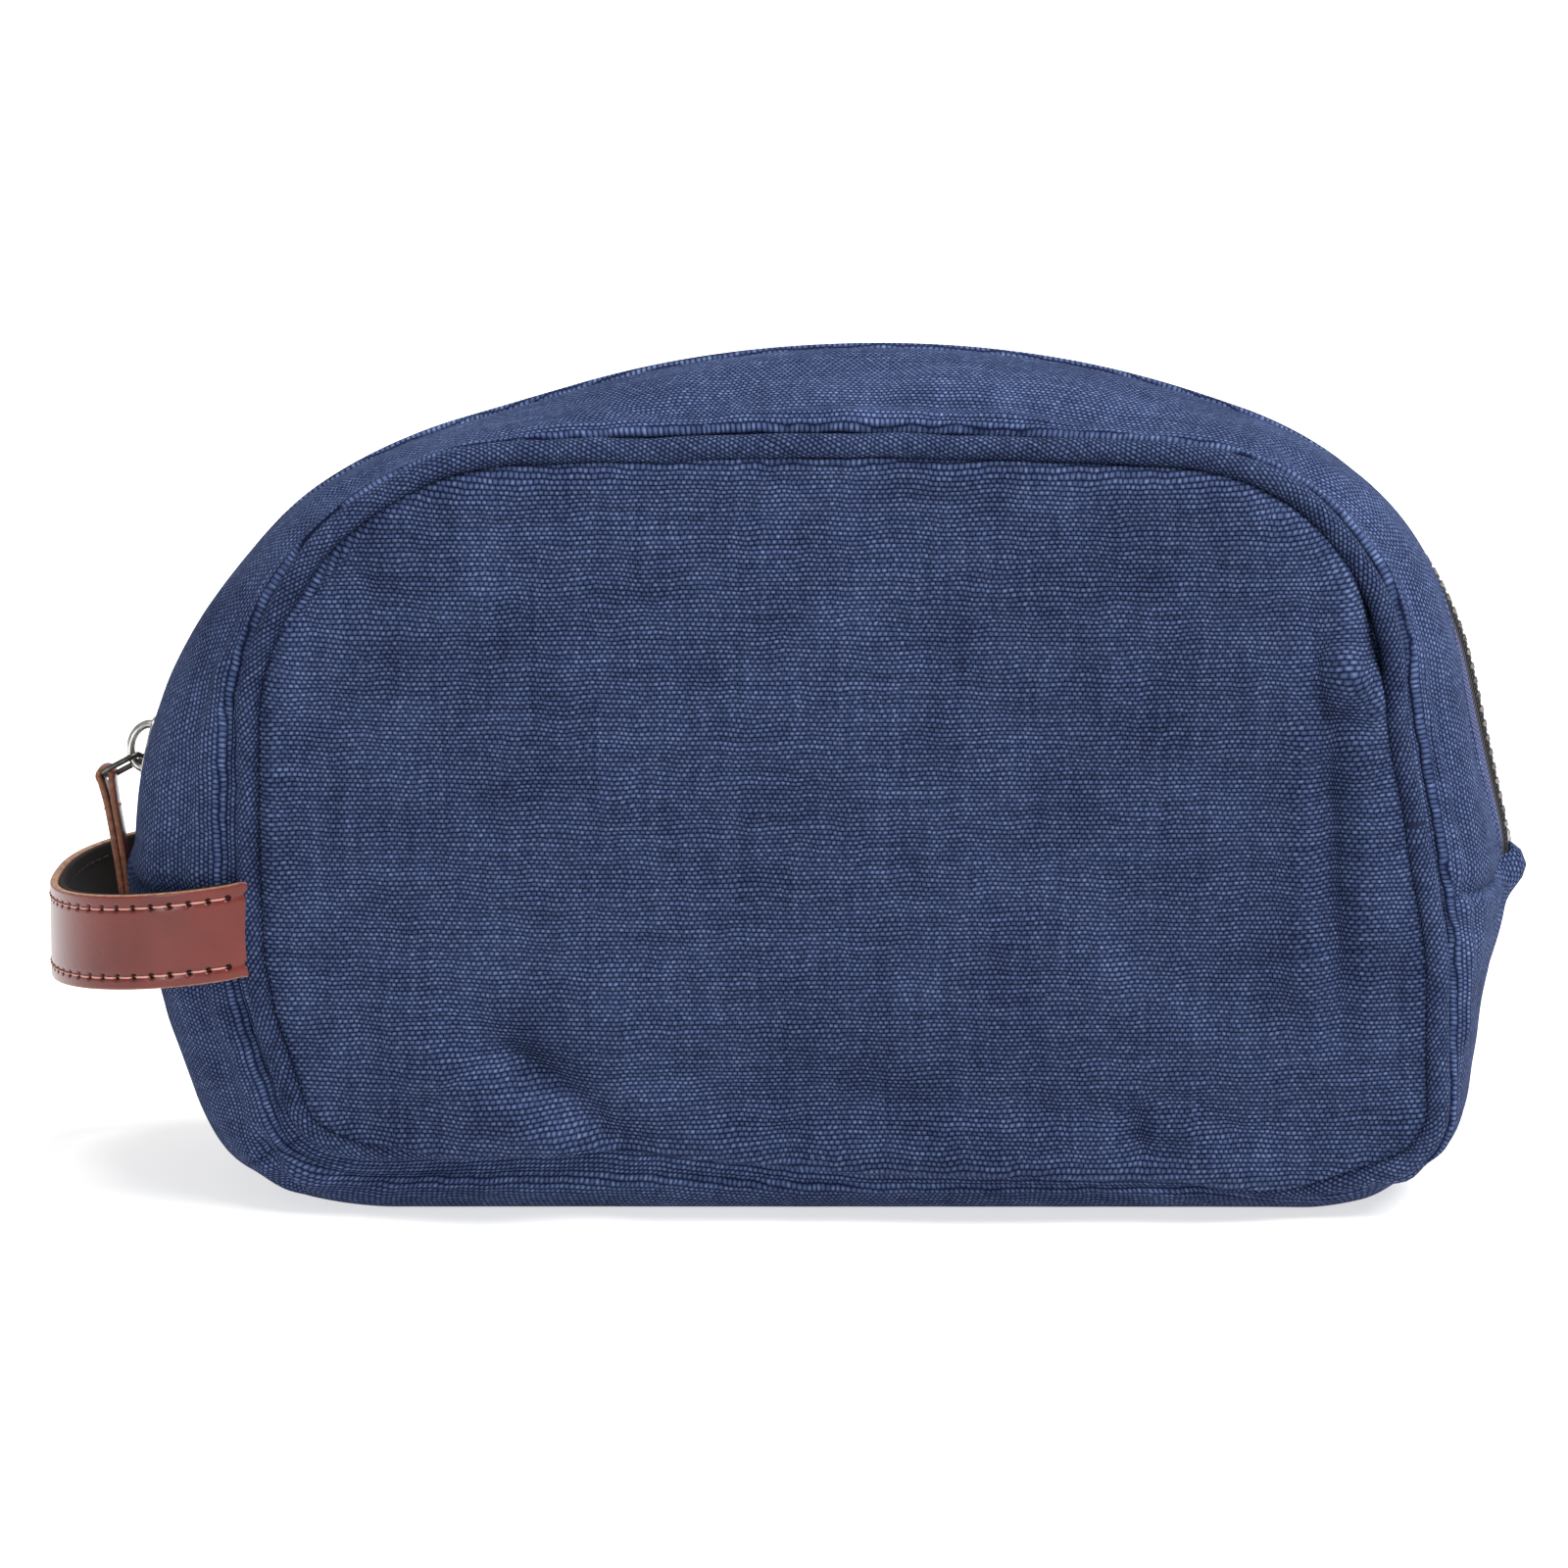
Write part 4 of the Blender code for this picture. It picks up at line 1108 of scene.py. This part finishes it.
STITCH_PITCH, STITCH_INSET = 3.7, 2.4


def make_strap(name, material, outer, inner, holes):
    """One layer of the carrying loop, with its rows of needle holes sunk into the outer face."""
    places, inward, _, run = loop_line(760)
    half = LOOP_WIDTH / 2
    lifts = np.concatenate(
        (
            np.linspace(-half + 0.35, half - 0.35, 62),
            (half - 0.08, half, half, half - 0.08),
            np.linspace(half - 0.35, -half + 0.35, 12),
            (-half + 0.08, -half, -half, -half + 0.08),
        )
    )
    depths = np.concatenate(
        (
            np.full(62, outer),
            (outer + 0.12, outer + 0.4, inner - 0.3, inner - 0.08),
            np.full(12, inner),
            (inner - 0.08, inner - 0.3, outer + 0.4, outer + 0.12),
        )
    )
    cut = np.concatenate((np.zeros(62), (0.6, 1, 1, 1), np.ones(12) * (0 if outer > 1 else 1), (1, 1, 1, 0.6)))
    hole = np.zeros((len(run), len(lifts)))
    groove = np.zeros_like(hole)
    if holes:
        phase = (run[:, None] / STITCH_PITCH + 0.5) % 1 - 0.5
        for row in (-1, 1):
            away = lifts[None, :62] - row * (half - STITCH_INSET)
            hole[:, :62] += np.exp(-((phase * STITCH_PITCH / 0.55) ** 2 + (away / 0.5) ** 2) ** 1.5)
            groove[:, :62] += hump(away, 0, 0.55) * 0.16
    depth = depths[None] + 0.75 * hole + groove
    pinch = 0.25 * waves(places, 30, 81)
    points = places[:, None] + inward[:, None] * (depth + pinch[:, None] * 0.2)[..., None]
    points[..., 2] += lifts[None] + (0.25 * waves(places, 35, 83))[:, None]
    faces = grid_faces(len(run), len(lifts), closed_columns=True)
    count = len(lifts)
    last = (len(run) - 1) * count
    faces += [list(range(count)), [last + k for k in reversed(range(count))]]
    # The hole mask also paints shade into the needle holes, through the leather's colour.
    masks = {"edge": np.broadcast_to(cut, hole.shape).ravel(), "hole": np.clip(hole * 1.6, 0, 1).ravel()}
    uv = np.stack((np.broadcast_to(run[:, None], hole.shape), np.broadcast_to(lifts, hole.shape)), -1)
    return face_out(mesh(name, points.reshape(-1, 3), faces, material, uv.reshape(-1, 2), masks))


def make_strap_stitches(name, material, inside):
    """The thread between the needle holes, on the outer face or on the backing's inner face."""
    places, inward, along, run = loop_line(2400)
    half = LOOP_WIDTH / 2
    depth = 2.86 if inside else 0.05
    lift = -1 if inside else 1
    paths = []
    count = int(run[-1] / STITCH_PITCH)
    for row in (-1, 1):
        for k in range(1, count):
            path = []
            for share, rise in ((0.10, -0.35), (0.3, 0.10), (0.7, 0.10), (0.90, -0.35)):
                i = int(np.searchsorted(run, (k + share) * STITCH_PITCH))
                i = min(i, len(run) - 1)
                spot = places[i] + inward[i] * (depth - rise * lift)
                slant = 0.12 * (share - 0.5)
                path.append(spot + (0, 0, row * (half - STITCH_INSET) + slant))
            paths.append(path)
    return threads(name, material, paths, 0.19)


def main():
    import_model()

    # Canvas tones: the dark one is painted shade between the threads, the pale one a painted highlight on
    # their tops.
    navy = ((10, 17, 40), (59, 72, 106), (100, 116, 152))
    canvas = woven("panel_canvas", *navy)
    # The gusset canvas is the panel's navy made 1.26 times brighter: painted light, standing in for the
    # gusset's brighter lighting.
    side_canvas = woven("gusset_canvas", *navy, columns=1.0, rows=1.05, gain=1.26)
    bias = woven("piping_canvas", *navy, columns=0.95, rows=0.8, turn=math.radians(38), gain=1.0)
    tape, lining, binding = twill(), coated(), bound()
    hide = leather("brown_leather", (108, 38, 30), (86, 27, 21), edge=(176, 132, 102))
    pull_hide = leather("pull_leather", (118, 48, 40), (92, 36, 30), edge=(138, 88, 66))
    dark_hide = leather("black_leather", (30, 19, 16), (20, 12, 10), shine=0.75)
    nickel = metal("nickel_plate", (205, 203, 200), 0.22, (150, 148, 144))
    brass = metal("antique_teeth", (158, 154, 146), 0.34, (92, 88, 82))
    gunmetal = metal("gunmetal_wire", (98, 96, 92), 0.3, (60, 58, 54))
    pink_thread = plain("pink_thread", (206, 146, 134), 0.7)
    dark_thread = plain("dark_thread", (36, 26, 24), 0.8)

    whole = math.radians(211.5), math.radians(328.7)
    left = angle_at(60.0, False)
    right = angle_at(60.0, True) + 2 * math.pi
    fixed = []
    for side, word in ((FRONT, "front"), (BACK, "back")):
        fixed += [
            (make_panel(side, f"{word}_panel_canvas", canvas), f"{word}_panel", "canvas"),
            (make_piping(side, f"{word}_piping_cord", bias), f"{word}_piping", "piping"),
            (
                make_binding(side, f"{word}_binding_tape", binding),
                f"{word}_seam_binding",
                "binding",
            ),
            (
                make_panel_lining(side, f"{word}_panel_lining", lining),
                f"{word}_lining",
                "lining",
            ),
        ]
    fixed += [
        (make_band("left_end_canvas", side_canvas, left, whole[0], 1, None), "left_end_panel", "canvas"),
        (make_band("base_canvas", side_canvas, *whole, None, None), "base_panel", "canvas"),
        (make_band("right_end_canvas", side_canvas, whole[1], right, None, 1), "right_end_panel", "canvas"),
        (make_base_lining("base_lining_cloth", lining), "base_lining", "lining"),
    ]
    for found, node, slot in fixed:
        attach(found, "bag")
        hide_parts(node)

    for side, word in ((FRONT, "front"), (BACK, "back")):
        mouth = f"{word}_mouth"
        bending = (
            (make_strip(side, f"{word}_strip_canvas", side_canvas), "strip", "canvas"),
            (make_strip_lining(side, f"{word}_strip_lining_cloth", lining), "strip_lining", "lining"),
            (make_tape(side, f"{word}_tape_twill", tape), "zip_tape", "tape"),
        )
        for found, node, slot in bending:
            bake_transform(found)
            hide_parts(f"{word}_{node}")
        teeth = make_teeth(side, f"{word}_teeth_row", brass)
        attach(teeth, mouth)
        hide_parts(f"{word}_zip_teeth")

    seat, link_frame, tab_frame = slider_frames()
    plates, crown = make_slider(seat, nickel)
    for found in (*plates, crown):
        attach(found, "slider")
    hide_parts("slider_body")
    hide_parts("slider_crown")
    link = make_link(link_frame, gunmetal)
    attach(link, "pull_link")
    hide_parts("pull_link")
    tab, tab_stitches = make_tab(tab_frame, pull_hide, pink_thread)
    for found in (tab, *tab_stitches):
        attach(found, "pull_tab")
    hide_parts("pull_tab")

    strap = make_strap("strap_outer_leather", hide, 0.0, 1.5, True)
    backing = make_strap("strap_inner_leather", dark_hide, 1.55, 2.8, False)
    outer_thread = make_strap_stitches("strap_stitches_outside", pink_thread, False)
    inner_thread = make_strap_stitches("strap_stitches_inside", dark_thread, True)
    for found, slot in (
        (strap, "leather"), (backing, "backing"), (outer_thread, "leather"), (inner_thread, "leather"),
    ):
        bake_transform(found)
    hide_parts("handle_strap")
    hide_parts("handle_backing")

    for node in ("front_top_stop", "back_top_stop", "bottom_stop"):
        bpy.data.objects[node].data.materials.clear()
        bpy.data.objects[node].data.materials.append(nickel)

    stage()


def stage():
    """A pale floor, soft lights, and a camera in front and a little above."""
    scene = bpy.context.scene
    floor_mesh = bpy.data.meshes.new("floor")
    reach = 60.0
    floor_mesh.from_pydata([(-reach, -reach, 0), (reach, -reach, 0), (reach, reach, 0), (-reach, reach, 0)],
                           [], [(0, 1, 2, 3)])
    floor = bpy.data.objects.new("floor", floor_mesh)
    scene.collection.objects.link(floor)
    pale = bpy.data.materials.new("pale_floor")
    pale.use_nodes = True
    pale.node_tree.nodes["Principled BSDF"].inputs["Base Color"].default_value = (0.6, 0.6, 0.6, 1)
    pale.node_tree.nodes["Principled BSDF"].inputs["Roughness"].default_value = 0.9
    pale.node_tree.nodes["Principled BSDF"].inputs["Emission Color"].default_value = (1, 1, 1, 1)
    pale.node_tree.nodes["Principled BSDF"].inputs["Emission Strength"].default_value = 0.65
    floor_mesh.materials.append(pale)

    world = bpy.data.worlds.new("studio")
    scene.world = world
    world.use_nodes = True
    world.node_tree.nodes["Background"].inputs["Color"].default_value = (1, 1, 1, 1)
    world.node_tree.nodes["Background"].inputs["Strength"].default_value = 0.42
    sun = bpy.data.lights.new("skylight", "SUN")
    sun.energy = 5.6
    sun.angle = math.radians(50)
    lamps = [(sun, (0.44, -0.20, 0.92))]
    for name, place, size, power in (("gloss", (-0.75, -0.95, 0.25), 0.25, 2.2),):
        lamp = bpy.data.lights.new(name, "AREA")
        lamp.shape = "DISK"
        lamp.size = size
        lamp.energy = power
        lamps.append((lamp, place))
    for lamp, place in lamps:
        found = bpy.data.objects.new(lamp.name, lamp)
        found.location = place
        aim = Vector((0, 0, 0.07)) - Vector(place)
        found.rotation_euler = aim.to_track_quat("-Z", "Y").to_euler()
        scene.collection.objects.link(found)

    data = bpy.data.cameras.new("camera")
    data.lens = 145.5
    data.sensor_width = 36.0
    data.dof.use_dof = False
    data.clip_end = 200.0
    camera = bpy.data.objects.new("camera", data)
    target = Vector((-0.0078, 0, 0.0739))
    tilt = math.radians(8)
    camera.location = target + Vector((0, -math.cos(tilt), math.sin(tilt))) * 1.2
    camera.rotation_euler = (math.pi / 2 - tilt, 0, 0)
    scene.collection.objects.link(camera)
    scene.camera = camera
    scene.view_settings.view_transform = "Standard"


main()
